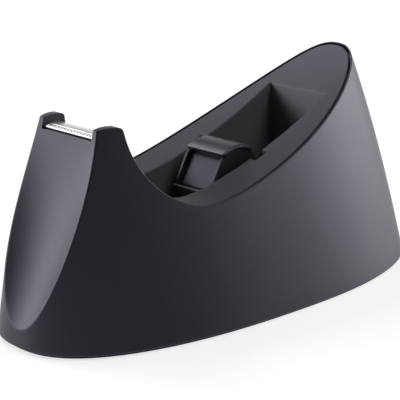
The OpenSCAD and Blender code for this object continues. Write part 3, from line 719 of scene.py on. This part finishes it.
def blade_outline(closed):
    """Side view of the strip; closed is the stretch at each end, where the groove is filled."""
    groove_back = TOOTH_T - TOOTH_OUT + GROOVE_WID
    inner, flange = BLADE_R - BLADE_T, FLANGE_OUT + BLADE_T
    start, end = (degrees(acos(x / BLADE_R)) for x in (flange, -TOOTH_OUT if closed else groove_back))
    back, front = (degrees(acos(x / inner)) for x in (FLANGE_OUT, groove_back + BLADE_T))
    land = on_circle(LAND - TOWER, BLADE_R, np.linspace(start, end, 25))
    under = on_circle(LAND - TOWER, inner, np.linspace(front, back, 25))
    if closed:
        edge = [[-TOOTH_OUT, EDGE_UP]]
    else:
        edge = [[groove_back, GROOVE_UP], [TOOTH_T - TOOTH_OUT, GROOVE_UP], [TOOTH_T - TOOTH_OUT, VALLEY_UP],
                [-TOOTH_OUT, VALLEY_UP], [-TOOTH_OUT, EDGE_UP]]
    outline = np.concatenate([[[FLANGE_OUT, FLANGE_UP], [flange, FLANGE_UP]], land, edge,
                              [[groove_back + BLADE_T, EDGE_UP]], under])
    return softened(outline, STRIP_ROUND) + TOWER


cutter = prism(blade_outline(False), -BLADE_HALF + END_LEN / 2, BLADE_HALF - END_LEN / 2)
for side in (1, -1):
    ends = sorted((side * (BLADE_HALF - END_LEN), side * BLADE_HALF))
    cutter = cut(cutter, prism(blade_outline(True), *ends), "UNION")
for x, y, z in STAKES:
    cutter = cut(cutter, rod((x - 1, y, z), (x + 2, y, z), STAKE_DIA + STAKE_GAP))
cutter.name = "cutter_blade_look"


def polished_steel(name, colour, roughness, line_mm):
    """Bright steel, rolled or drawn: a mirror, softened by the fine lines of its making. The real
    lines are finer, and are drawn as coarse as they need to show."""
    along = 0.06                           # the lines run along Y, this much less closely than across
    made, tree, shader = surface(name, Metallic=1.0, Base_Color=linear(colour))
    place = add(tree, "ShaderNodeTexCoord").outputs["Object"]
    drawn = add(tree, "ShaderNodeMapping", {"Vector": place, "Scale": (1, along, 1)})
    lines = add(tree, "ShaderNodeTexNoise", {"Vector": drawn.outputs[0], "Scale": 1000 / line_mm,
                                            "Detail": 3.0})
    rough = add(tree, "ShaderNodeMapRange", {"Value": lines.outputs["Fac"], "To Min": roughness - 0.06,
                                            "To Max": roughness + 0.06})
    bump = add(tree, "ShaderNodeBump", {"Height": lines.outputs["Fac"], "Distance": 0.000004})
    tree.links.new(rough.outputs[0], shader.inputs["Roughness"])
    tree.links.new(bump.outputs[0], shader.inputs["Normal"])
    return made


def grown(name, tree, values, start=None):
    """Runs a Geometry Nodes tree on an empty piece, or on the given points, and keeps its mesh."""
    data = bpy.data.meshes.new(name)
    data.from_pydata([] if start is None else start, [], [])
    piece = bpy.data.objects.new(name, data)
    bpy.context.scene.collection.objects.link(piece)
    step = piece.modifiers.new("grown", "NODES")
    step.node_group = tree
    for socket in tree.interface.items_tree:
        if socket.name in values:
            step[socket.identifier] = values[socket.name]
    bpy.context.view_layer.update()
    made = bpy.data.meshes.new_from_object(piece.evaluated_get(bpy.context.evaluated_depsgraph_get()))
    piece.modifiers.clear()
    piece.data = made
    return piece


def node_tree(name, **inputs):
    """An empty Geometry Nodes tree with named inputs, and the sockets that give them."""
    tree = bpy.data.node_groups.new(name, "GeometryNodeTree")
    tree.interface.new_socket("Geometry", in_out="INPUT", socket_type="NodeSocketGeometry")
    tree.interface.new_socket("Geometry", in_out="OUTPUT", socket_type="NodeSocketGeometry")
    for label, kind in inputs.items():
        tree.interface.new_socket(label.replace("_", " "), in_out="INPUT", socket_type="NodeSocket" + kind)
    return tree, add(tree, "NodeGroupInput").outputs


spring_steel = polished_steel("spring_steel_rolled", "#e2e3e6", 0.3, 0.1)
tree, given = node_tree("saw_teeth", Teeth="Int", Pitch="Float", Height="Float", Thickness="Float",
                        First="Vector", Material="Material")
size = add(tree, "ShaderNodeCombineXYZ", {"X": given["Thickness"], "Y": given["Pitch"], "Z": given["Height"]})
box = add(tree, "GeometryNodeMeshCube", {"Size": size.outputs[0]})
corner_at = add(tree, "ShaderNodeSeparateXYZ", {0: add(tree, "GeometryNodeInputPosition").outputs[0]})
above = add(tree, "FunctionNodeCompare", {0: corner_at.outputs["Z"], 1: 0.0}, operation="GREATER_THAN")
narrow = add(tree, "ShaderNodeCombineXYZ", {"X": corner_at.outputs["X"], "Z": corner_at.outputs["Z"]})
wedge = add(tree, "GeometryNodeSetPosition", {"Geometry": box.outputs["Mesh"], "Selection": above.outputs[0],
                                             "Position": narrow.outputs[0]})
tooth = add(tree, "GeometryNodeMergeByDistance", {"Geometry": wedge.outputs[0], "Distance": 0.001})
step = add(tree, "ShaderNodeCombineXYZ", {"Y": given["Pitch"]})
row = add(tree, "GeometryNodeMeshLine", {"Count": given["Teeth"], "Start Location": given["First"],
                                        "Offset": step.outputs[0]})
teeth = add(tree, "GeometryNodeInstanceOnPoints", {"Points": row.outputs[0], "Instance": tooth.outputs[0]})
real = add(tree, "GeometryNodeRealizeInstances", {0: teeth.outputs[0]})
dressed = add(tree, "GeometryNodeSetMaterial", {"Geometry": real.outputs[0], "Material": given["Material"]})
add(tree, "NodeGroupOutput", {0: dressed.outputs[0]})
SUNK = 0.03                                # the wedges start this deep in the strip
count = int((2 * BLADE_HALF - 2 * END_LEN) / TOOTH_PITCH)
teeth = grown("cutter_teeth_look", tree, {
    "Teeth": count, "Pitch": TOOTH_PITCH, "Height": TOOTH_H + SUNK, "Thickness": TOOTH_T,
    "First": (TOWER[0] - TOOTH_OUT + TOOTH_T / 2, -(count - 1) / 2 * TOOTH_PITCH,
              TOWER[1] + VALLEY_UP + (TOOTH_H - SUNK) / 2), "Material": spring_steel})
for piece in (cutter, teeth):
    finished(piece, spring_steel)
    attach(piece, "body")
    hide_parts("cutter_blade")

# ---- Base plate and ballast ----------------------------------------------------------------
# The base plate is moulded in black ABS and closes the body from below. Four cast-iron weights,
# screwed to it, hold the dispenser down while tape is torn off. They keep the frame's own meshes.
base_abs = grained_abs("black_abs_base", "#26262a", "#303035", 0.4, 0.02, 0.55)


def cast_iron(name, dark, light, grain_mm):
    """Sand-cast grey iron, as cast: a coarse, dull skin."""
    made, tree, shader = surface(name, Metallic=0.8, Roughness=0.7)
    place = add(tree, "ShaderNodeTexCoord").outputs["Object"]
    sand = add(tree, "ShaderNodeTexNoise", {"Vector": place, "Scale": 1000 / grain_mm, "Detail": 4.0})
    shade = add(tree, "ShaderNodeMix", {0: sand.outputs["Fac"], 6: linear(dark), 7: linear(light)},
                data_type="RGBA")
    bump = add(tree, "ShaderNodeBump", {"Height": sand.outputs["Fac"], "Distance": 0.0002})
    tree.links.new(shade.outputs[2], shader.inputs["Base Color"])
    tree.links.new(bump.outputs[0], shader.inputs["Normal"])
    return made


iron = cast_iron("cast_iron", "#2e2f31", "#5c5e60", 0.8)


def dress(node, material):
    """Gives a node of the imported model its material."""
    data = bpy.data.objects[node].data
    data.materials.clear()
    data.materials.append(material)


dress("base_plate", base_abs)
for node in ("ballast_front", "ballast_back", "ballast_left", "ballast_right"):
    dress(node, iron)

# ---- Screws --------------------------------------------------------------------------------
# Zinc-plated pan head screws with a cross recess, driven up from below: four long ones hold the
# cover's posts, eight hold the ballast.
HEAD_DIA, HEAD_H, SCREW_DIA, HEAD_SEAT = 5.4, 1.6, 2.8, 3.3
THREAD_PITCH, THREAD_DEEP, THREAD_END = 1.1, 0.3, 1.5
CROSS_LONG, CROSS_WIDE, CROSS_DEEP = 1.6, 0.4, 0.9
zinc = polished_steel("zinc_plated_steel", "#b4b7ba", 0.32, 0.2)
# where the screws stand, seen from above
SPOTS = {"cover_screws": POSTS, "ballast_screws": [
    (x, side * y) for x, y in ((TOWER[0], 12.0), (58.0, 10.0), (HUB[0] - 21, 20.5), (HUB[0] + 25, 20.5))
    for side in (1, -1)]}
around = np.linspace(0, 2 * pi, 33)
# the screw's profile as (height, radius), from the face of its head up to the tip of its thread
rings = [(0.0, 0.6), (0.0, 1.8), (0.12, 2.3), (0.5, HEAD_DIA / 2), (HEAD_H, HEAD_DIA / 2),
         (HEAD_H, SCREW_DIA / 2)]
for z in np.linspace(HEAD_H + 0.3, HEAD_H + SCREW_LEN, 76):
    phase = (z / THREAD_PITCH - around / (2 * pi)) % 1
    taper = min(1, (HEAD_H + SCREW_LEN - z) / THREAD_END + 0.25)
    rings.append((z, taper * (SCREW_DIA / 2 - THREAD_DEEP * np.abs(2 * phase - 1))))
turned = [np.stack([r * np.cos(around), r * np.sin(around), 0 * around + z], 1) for z, r in rings]
screw = solid("screw", [turned])
for x, y in ((CROSS_LONG, CROSS_WIDE), (CROSS_WIDE, CROSS_LONG)):
    screw = cut(screw, block((-x, -y, -1), (x, y, CROSS_DEEP)))
tree, given = node_tree("screws_on_points", Screw="Object", Material="Material")
source = add(tree, "GeometryNodeObjectInfo", {"Object": given["Screw"]})
driven = add(tree, "GeometryNodeInstanceOnPoints", {"Points": given["Geometry"],
                                                   "Instance": source.outputs["Geometry"]})
real = add(tree, "GeometryNodeRealizeInstances", {0: driven.outputs[0]})
dressed = add(tree, "GeometryNodeSetMaterial", {"Geometry": real.outputs[0], "Material": given["Material"]})
add(tree, "NodeGroupOutput", {0: dressed.outputs[0]})
for node, spots in SPOTS.items():
    piece = grown(node + "_look", tree, {"Screw": screw, "Material": zinc},
                  start=[(x, y, HEAD_SEAT - HEAD_H) for x, y in spots])
    finished(piece, zinc)
    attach(piece, "body")
    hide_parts(node)
bpy.data.objects.remove(screw)

# ---- Anti-slip sole ------------------------------------------------------------------------
# A sheet of closed-cell foam rubber, die-cut to the shape of the base plate and glued under it.
SOLE_IN, SOLE_T, SOLE_ROUND = 1.4, 1.4, 0.25
tree, given = node_tree("egg_sheet", Half_length="Float", Half_width="Float", Power="Float", Swell="Float",
                        Thickness="Float", Round="Float", Material="Material")
AROUND, ACROSS = 241, 12
sheet = add(tree, "GeometryNodeMeshGrid", {"Size X": 1.0, "Size Y": 1.0, "Vertices X": AROUND,
                                          "Vertices Y": ACROSS})
spot = add(tree, "ShaderNodeSeparateXYZ", {0: add(tree, "GeometryNodeInputPosition").outputs[0]}).outputs
worked = {"way": spot["X"], "row": spot["Y"], **{label: given[label] for label in (
    "Half length", "Half width", "Power", "Swell", "Thickness", "Round")}}
# each entry is one sum: what it gives, how, and from which numbers or earlier sums. Along X the grid
# goes round the egg, along Y from the underside over the rounded edge to the top; its first and last
# rows meet in the middle of both faces
SUMS = (
    ("turn", "MULTIPLY_ADD", "way", 2 * pi, pi), ("power", "DIVIDE", 2.0, "Power"),
    ("lengthwise", "COSINE", "turn"), ("crosswise", "SINE", "turn"),
    ("to back", "SIGN", "lengthwise"), ("long", "ABSOLUTE", "lengthwise"), ("long", "POWER", "long", "power"),
    ("u", "MULTIPLY", "to back", "long"),
    ("to side", "SIGN", "crosswise"), ("wide", "ABSOLUTE", "crosswise"), ("wide", "POWER", "wide", "power"),
    ("v", "MULTIPLY", "to side", "wide"), ("swollen", "MULTIPLY_ADD", "u", "Swell", 1.0),
    ("v", "MULTIPLY", "v", "swollen"),
    ("tilt", "MULTIPLY", "row", pi * ACROSS / (ACROSS - 2)), ("level", "COSINE", "tilt"),
    ("level", "MAXIMUM", "level", 0.0), ("drawn in", "SUBTRACT", 1.0, "level"),
    ("drawn in", "MULTIPLY", "drawn in", "Round"),
    ("outermost", "ABSOLUTE", "row"), ("inside", "LESS_THAN", "outermost", 0.499),
    ("half l", "SUBTRACT", "Half length", "drawn in"), ("half l", "MULTIPLY", "half l", "inside"),
    ("half w", "SUBTRACT", "Half width", "drawn in"), ("half w", "MULTIPLY", "half w", "inside"),
    ("middle", "MULTIPLY", "Thickness", 0.5), ("straight", "SUBTRACT", "middle", "Round"),
    ("steep", "SINE", "tilt"), ("steep", "ABSOLUTE", "steep"),
    ("reach", "MULTIPLY_ADD", "steep", "Round", "straight"),
    ("up or down", "SIGN", "tilt"), ("z", "MULTIPLY_ADD", "up or down", "reach", "middle"),
    ("x", "MULTIPLY", "u", "half l"), ("y", "MULTIPLY", "v", "half w"))
for gives, how, *takes in SUMS:
    values = {k: worked.get(value, value) for k, value in enumerate(takes)}
    worked[gives] = add(tree, "ShaderNodeMath", values, operation=how).outputs[0]
place = add(tree, "ShaderNodeCombineXYZ", {axis.upper(): worked[axis] for axis in "xyz"})
moved = add(tree, "GeometryNodeSetPosition", {"Geometry": sheet.outputs["Mesh"],
                                             "Position": place.outputs[0]})
sewn = add(tree, "GeometryNodeMergeByDistance", {"Geometry": moved.outputs[0], "Distance": 0.0005})
real = add(tree, "GeometryNodeRealizeInstances", {0: sewn.outputs[0]})
dressed = add(tree, "GeometryNodeSetMaterial", {"Geometry": real.outputs[0], "Material": given["Material"]})
add(tree, "NodeGroupOutput", {0: dressed.outputs[0]})


def foam_rubber(name, dark, light, cell_mm):
    """Closed-cell foam rubber: a dull black skin, marked by its fine cells."""
    made, tree, shader = surface(name, Roughness=0.9, IOR=1.45)
    place = add(tree, "ShaderNodeTexCoord").outputs["Object"]
    cells = add(tree, "ShaderNodeTexVoronoi", {"Vector": place, "Scale": 1000 / cell_mm})
    shade = add(tree, "ShaderNodeMix", {0: cells.outputs["Distance"], 6: linear(dark), 7: linear(light)},
                data_type="RGBA")
    bump = add(tree, "ShaderNodeBump", {"Height": cells.outputs["Distance"], "Distance": 0.00015})
    tree.links.new(shade.outputs[2], shader.inputs["Base Color"])
    tree.links.new(bump.outputs[0], shader.inputs["Normal"])
    return made


rubber = foam_rubber("foam_rubber", "#0d0d0e", "#1d1d1f", 0.6)
sole = grown("anti_slip_sole_look", tree, {
    "Half length": HALF_LEN - SOLE_IN, "Half width": HALF_WID - SOLE_IN, "Power": POWER, "Swell": SWELL,
    "Thickness": SOLE_T, "Round": SOLE_ROUND, "Material": rubber})
finished(sole, rubber)
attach(sole, "body")
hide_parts("anti_slip_sole")

# ---- Axle ----------------------------------------------------------------------------------
# A plain rod of drawn steel with chamfered ends, resting in the two open slots of the cover.
AXLE_DIA, AXLE_HALF, CHAMFER, AXLE_GAP = 4.0, 13.6, 0.3, 0.05


def slab(outline, rings):
    """Solid along Y: at each (y, inset) of rings it has the outline for that inset."""
    made = []
    for y, inset in rings:
        ring = outline(inset)
        made.append(np.insert(np.concatenate([ring, ring[:1]]), 1, y, axis=1))
    return solid("tool", [made])


def circle_outline(radius, centre=HUB):
    """Outline of a round piece along Y, for slab()."""
    return lambda inset: on_circle(np.asarray(centre), radius - inset, np.linspace(0, 360, 73)[:-1])


axle = slab(circle_outline(AXLE_DIA / 2), [(-AXLE_HALF, CHAMFER), (CHAMFER - AXLE_HALF, 0),
                                          (AXLE_HALF - CHAMFER, 0), (AXLE_HALF, CHAMFER)])
axle.name = "hub_axle_look"
drawn_steel = polished_steel("drawn_steel", "#c4c6c9", 0.28, 0.15)
finished(axle, drawn_steel)
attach(axle, "axle")
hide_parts("hub_axle")

# ---- Hub -----------------------------------------------------------------------------------
# The core hub: two ABS mouldings pressed together on three pegs. Each is a thin side plate with
# three flats, half of the hollow drum, and the tube that turns on the axle.
PLATE_R, FLAT_OUT, DRUM_R, DRUM_OUT, DRUM_IN = 11.4, 10.4, 10.2, 9.0, 7.6
HUB_HALF, PLATE_T, TUBE_R, TUBE_END = 7.6, 1.0, 3.4, 11.2
PEG_DIA, PEG_OUT, PEG_LEN, PEG_WALL = 2.4, 5.55, 3.0, 0.8
LUG_LEN, LUG_T, HUB_EDGE, PLATE_EDGE, PEG_EDGE = 6.0, 2.0, 0.3, 0.2, 0.25
PEG_ANGLES, PAD_ANGLES = (30, 150, 270), (90, 210, 330)


def lobes(radius, out):
    """Round outline with a flat across each peg's direction."""
    def outline(inset):
        angles = np.arange(0, 360, 3.0)
        ring = np.full(len(angles), radius - inset)
        for a in PEG_ANGLES:
            facing = np.cos(np.radians(angles - a))
            ring = np.where(facing > 0.2, np.minimum(ring, (out - inset) / np.maximum(facing, 0.2)), ring)
        return HUB + ring[:, None] * np.stack([np.cos(np.radians(angles)), np.sin(np.radians(angles))], 1)
    return outline


def rounded_ends(y0, y1, r0, r1, steps=4):
    """Rings from y0 to y1 with a rounded edge of radius r0 at the first end and r1 at the other."""
    angles = np.linspace(0, pi / 2, steps + 1)
    first = [(y0 + r0 * (1 - cos(a)), r0 * (1 - sin(a))) for a in angles]
    last = [(y1 - r1 * (1 - cos(a)), r1 * (1 - sin(a))) for a in angles[::-1]]
    return (first if r0 else [(y0, 0)]) + (last if r1 else [(y1, 0)])


def hub_half(pegs):
    """The near half, with the pegs; the far one is its mirror image, with sockets."""
    half = slab(lobes(PLATE_R, FLAT_OUT), rounded_ends(-HUB_HALF, PLATE_T - HUB_HALF, HUB_EDGE, PLATE_EDGE))
    drum = slab(lobes(DRUM_R, DRUM_OUT), [(PLATE_T - HUB_HALF - 0.3, 0), (0, 0)])
    drum = cut(drum, slab(circle_outline(DRUM_IN), [(PLATE_T - HUB_HALF, 0), (1, 0)]))
    half = cut(half, drum, "UNION")
    half = cut(half, slab(circle_outline(TUBE_R), rounded_ends(-TUBE_END, 0, HUB_EDGE, 0)), "UNION")
    for a in PEG_ANGLES:
        centre = on_circle(HUB, PEG_OUT, a)[0]
        radius = PEG_DIA / 2 if pegs else PEG_DIA / 2 + PEG_WALL
        end = rounded_ends(-HUB_HALF + PLATE_T / 2, PEG_LEN if pegs else 0, 0, PEG_EDGE if pegs else 0)
        half = cut(half, slab(circle_outline(radius, centre), end), "UNION")
        if not pegs:
            socket = slab(circle_outline(PEG_DIA / 2 + AXLE_GAP, centre), [(-PEG_LEN - 1, 0), (1, 0)])
            half = cut(half, socket)
    half = cut(half, slab(circle_outline(AXLE_DIA / 2 + AXLE_GAP), [(-FAR, 0), (FAR, 0)]))
    for a in PAD_ANGLES:
        out, across_lug = on_circle(0, 1, a)[0], on_circle(0, 1, a + 90)[0] * (LUG_T + FIT) / 2
        slot = [HUB + out * (DRUM_IN - 1) - across_lug, HUB + out * (PLATE_R - 0.1) - across_lug,
                HUB + out * (PLATE_R - 0.1) + across_lug, HUB + out * (DRUM_IN - 1) + across_lug]
        half = cut(half, prism(slot, -(LUG_LEN + FIT) / 2, (LUG_LEN + FIT) / 2))
    if not pegs:
        half.data.transform(Matrix.Scale(-1, 4, (0, 1, 0)))
        half.data.flip_normals()
    return half


# the hub is less deeply eroded than the body, so its sheen is smoother
hub_abs = grained_abs("dark_grey_abs_satin", "#262629", "#2e2e31", 0.25, 0.012, 0.5)
for node, pegs in (("hub_half_near", True), ("hub_half_far", False)):
    half = hub_half(pegs)
    half.name = node + "_look"
    finished(half, hub_abs)
    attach(half, "hub")
    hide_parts(node)

# ---- Grip pads -----------------------------------------------------------------------------
# Three sprung shoes on the hub that grip the roll's core: smoother, slightly glossy ABS with
# rounded ends. A lug on each snaps through the drum.
GRIP_HALF, GRIP_T, GRIP_ANGLE, GRIP_ROUND, GRIP_CORNER = 8.0, 1.3, 31.0, 0.8, 0.45


def sector(r0, r1, half_angle, middle):
    """Ring sector about the hub axle, with softened corners."""
    def outline(inset):
        reach = half_angle - degrees(inset / r1)
        angles = np.linspace(-reach, reach, 31)
        ring = np.concatenate([on_circle(0, r1 - inset, angles + middle),
                               on_circle(0, r0 + inset / 4, angles[::-1] + middle)])
        return HUB + softened(ring, GRIP_CORNER)
    return outline


pad_abs = grained_abs("grey_abs_smooth", "#252528", "#2d2d30", 0.3, 0.008, 0.38)
for node, a in zip(("grip_pad_top", "grip_pad_front", "grip_pad_back"), PAD_ANGLES):
    pad = slab(sector(PLATE_R, PLATE_R + GRIP_T, GRIP_ANGLE, a),
               rounded_ends(-GRIP_HALF, GRIP_HALF, GRIP_ROUND, GRIP_ROUND, 6))
    inside = HUB_HALF - PLATE_T - FIT
    pad = cut(pad, slab(sector(DRUM_R, PLATE_R + GRIP_T / 2, GRIP_ANGLE - 4, a),
                        rounded_ends(-inside, inside, 0.1, 0.1)), "UNION")
    out, across_lug = on_circle(0, 1, a)[0], on_circle(0, 1, a + 90)[0] * LUG_T / 2
    lug = [HUB + out * (DRUM_IN - 0.6) - across_lug, HUB + out * (DRUM_R + 0.4) - across_lug,
           HUB + out * (DRUM_R + 0.4) + across_lug, HUB + out * (DRUM_IN - 0.6) + across_lug]
    pad = cut(pad, prism(softened(lug, 0.3), -LUG_LEN / 2, LUG_LEN / 2), "UNION")
    pad.name = node + "_look"
    finished(pad, pad_abs)
    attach(pad, "hub")
    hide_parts(node)

# ---- Floor, lights and camera --------------------------------------------------------------
# A matt white table, four soft boxes and a white studio. Two boxes stand low to the left and right
# behind the object, as the camera sees it, and two hang above it.
TABLE_HALF = 4                             # metres
corners = [(x * TABLE_HALF, y * TABLE_HALF, 0) for x, y in ((-1, -1), (1, -1), (1, 1), (-1, 1))]
floor_mesh = bpy.data.meshes.new("floor")
floor_mesh.from_pydata(corners, [], [(0, 1, 2, 3)])
floor = bpy.data.objects.new("floor", floor_mesh)
bpy.context.scene.collection.objects.link(floor)


def either(tree, *rays):
    """1 for rays of any of the given kinds."""
    path = add(tree, "ShaderNodeLightPath").outputs
    seen = path[rays[0]]
    for ray in rays[1:]:
        seen = add(tree, "ShaderNodeMath", {0: seen, 1: path[ray]}, operation="MAXIMUM").outputs[0]
    return seen


def white_paper(name, colour, lift):
    """Matt card, lifted to white for the eye and for mirrors; it still takes the soft shadow."""
    made, tree, shader = surface(name, Base_Color=linear(colour), Roughness=0.9, Specular_IOR_Level=0.0)
    seen = either(tree, "Is Camera Ray", "Is Glossy Ray", "Is Transmission Ray")
    lifted = add(tree, "ShaderNodeMath", {0: seen, 1: lift}, operation="MULTIPLY")
    shader.inputs["Emission Color"].default_value = linear("#ffffff")
    tree.links.new(lifted.outputs[0], shader.inputs["Emission Strength"])
    return made


floor_mesh.materials.append(white_paper("white_paper", "#b4b4b4", 0.7))


def soft_box(name, place, size, power):
    """An area lamp turned to the object's middle; place and size in metres, power in watts."""
    lamp = bpy.data.lights.new(name, "AREA")
    lamp.shape, lamp.size, lamp.size_y, lamp.energy = "RECTANGLE", size[0], size[1], power
    held = bpy.data.objects.new(name, lamp)
    held.location = place
    held.rotation_euler = (Vector((0, 0, 0.03)) - Vector(place)).to_track_quat("-Z", "Y").to_euler()
    bpy.context.scene.collection.objects.link(held)


soft_box("right", (1.0958, -0.4207, 0.2795), (0.8, 0.5), 9.2)
soft_box("left", (-0.7064, 0.9374, 0.2795), (0.9, 0.5), 9.5)
soft_box("rear_top", (0, 0.7713, 0.9493), (0.5, 0.5), 5.3)
soft_box("front_top", (0.3, -0.5196, 1.0692), (0.5, 0.5), 4.5)

world = bpy.data.worlds.new("studio")
world.use_nodes = True
bpy.context.scene.world = world
tree = world.node_tree
# the white studio shows directly everywhere; what mirrors it sees it only behind and low down
way = add(tree, "ShaderNodeTexCoord").outputs["Generated"]
towards = add(tree, "ShaderNodeVectorMath", {0: way, 1: (0.7, 0.7, 0)}, operation="DOT_PRODUCT")
behind = add(tree, "ShaderNodeMapRange", {"Value": towards.outputs["Value"], "From Min": 0.7,
                                         "From Max": 0.9})
height = add(tree, "ShaderNodeSeparateXYZ", {0: way}).outputs["Z"]
low = add(tree, "ShaderNodeMapRange", {"Value": height, "From Min": 0.5, "From Max": 0.35})
mirrored = add(tree, "ShaderNodeMath", {0: behind.outputs[0], 1: low.outputs[0]}, operation="MULTIPLY")
mirrored = add(tree, "ShaderNodeMath", {0: mirrored.outputs[0], 1: either(tree, "Is Glossy Ray")},
               operation="MULTIPLY")
white = add(tree, "ShaderNodeMath", {0: either(tree, "Is Camera Ray", "Is Transmission Ray"),
                                     1: mirrored.outputs[0]}, operation="MAXIMUM")
AMBIENT = 0.03                             # what the studio adds to the light on every side
strength = add(tree, "ShaderNodeMapRange", {"Value": white.outputs[0], "To Min": AMBIENT, "To Max": 1.0})
tree.links.new(strength.outputs[0], tree.nodes["Background"].inputs["Strength"])
tree.nodes["Background"].inputs["Color"].default_value = linear("#ffffff")

TARGET = Vector((-0.004849, 0, 0.02776))
AZIMUTH, ELEVATION, DISTANCE = radians(-44.894), radians(16.811), 0.4262
FOCAL_PX, PICTURE_PX = 1420, 400           # focal length and width of the picture, in its pixels
sight = Vector((-sin(AZIMUTH) * cos(ELEVATION), cos(AZIMUTH) * cos(ELEVATION), -sin(ELEVATION)))
lens = bpy.data.cameras.new("camera")
lens.lens = FOCAL_PX / PICTURE_PX * lens.sensor_width
camera = bpy.data.objects.new("camera", lens)
camera.location = TARGET - sight * DISTANCE
camera.rotation_euler = sight.to_track_quat("-Z", "Y").to_euler()
bpy.context.scene.collection.objects.link(camera)
bpy.context.scene.camera = camera
bpy.context.scene.view_settings.view_transform = "Standard"
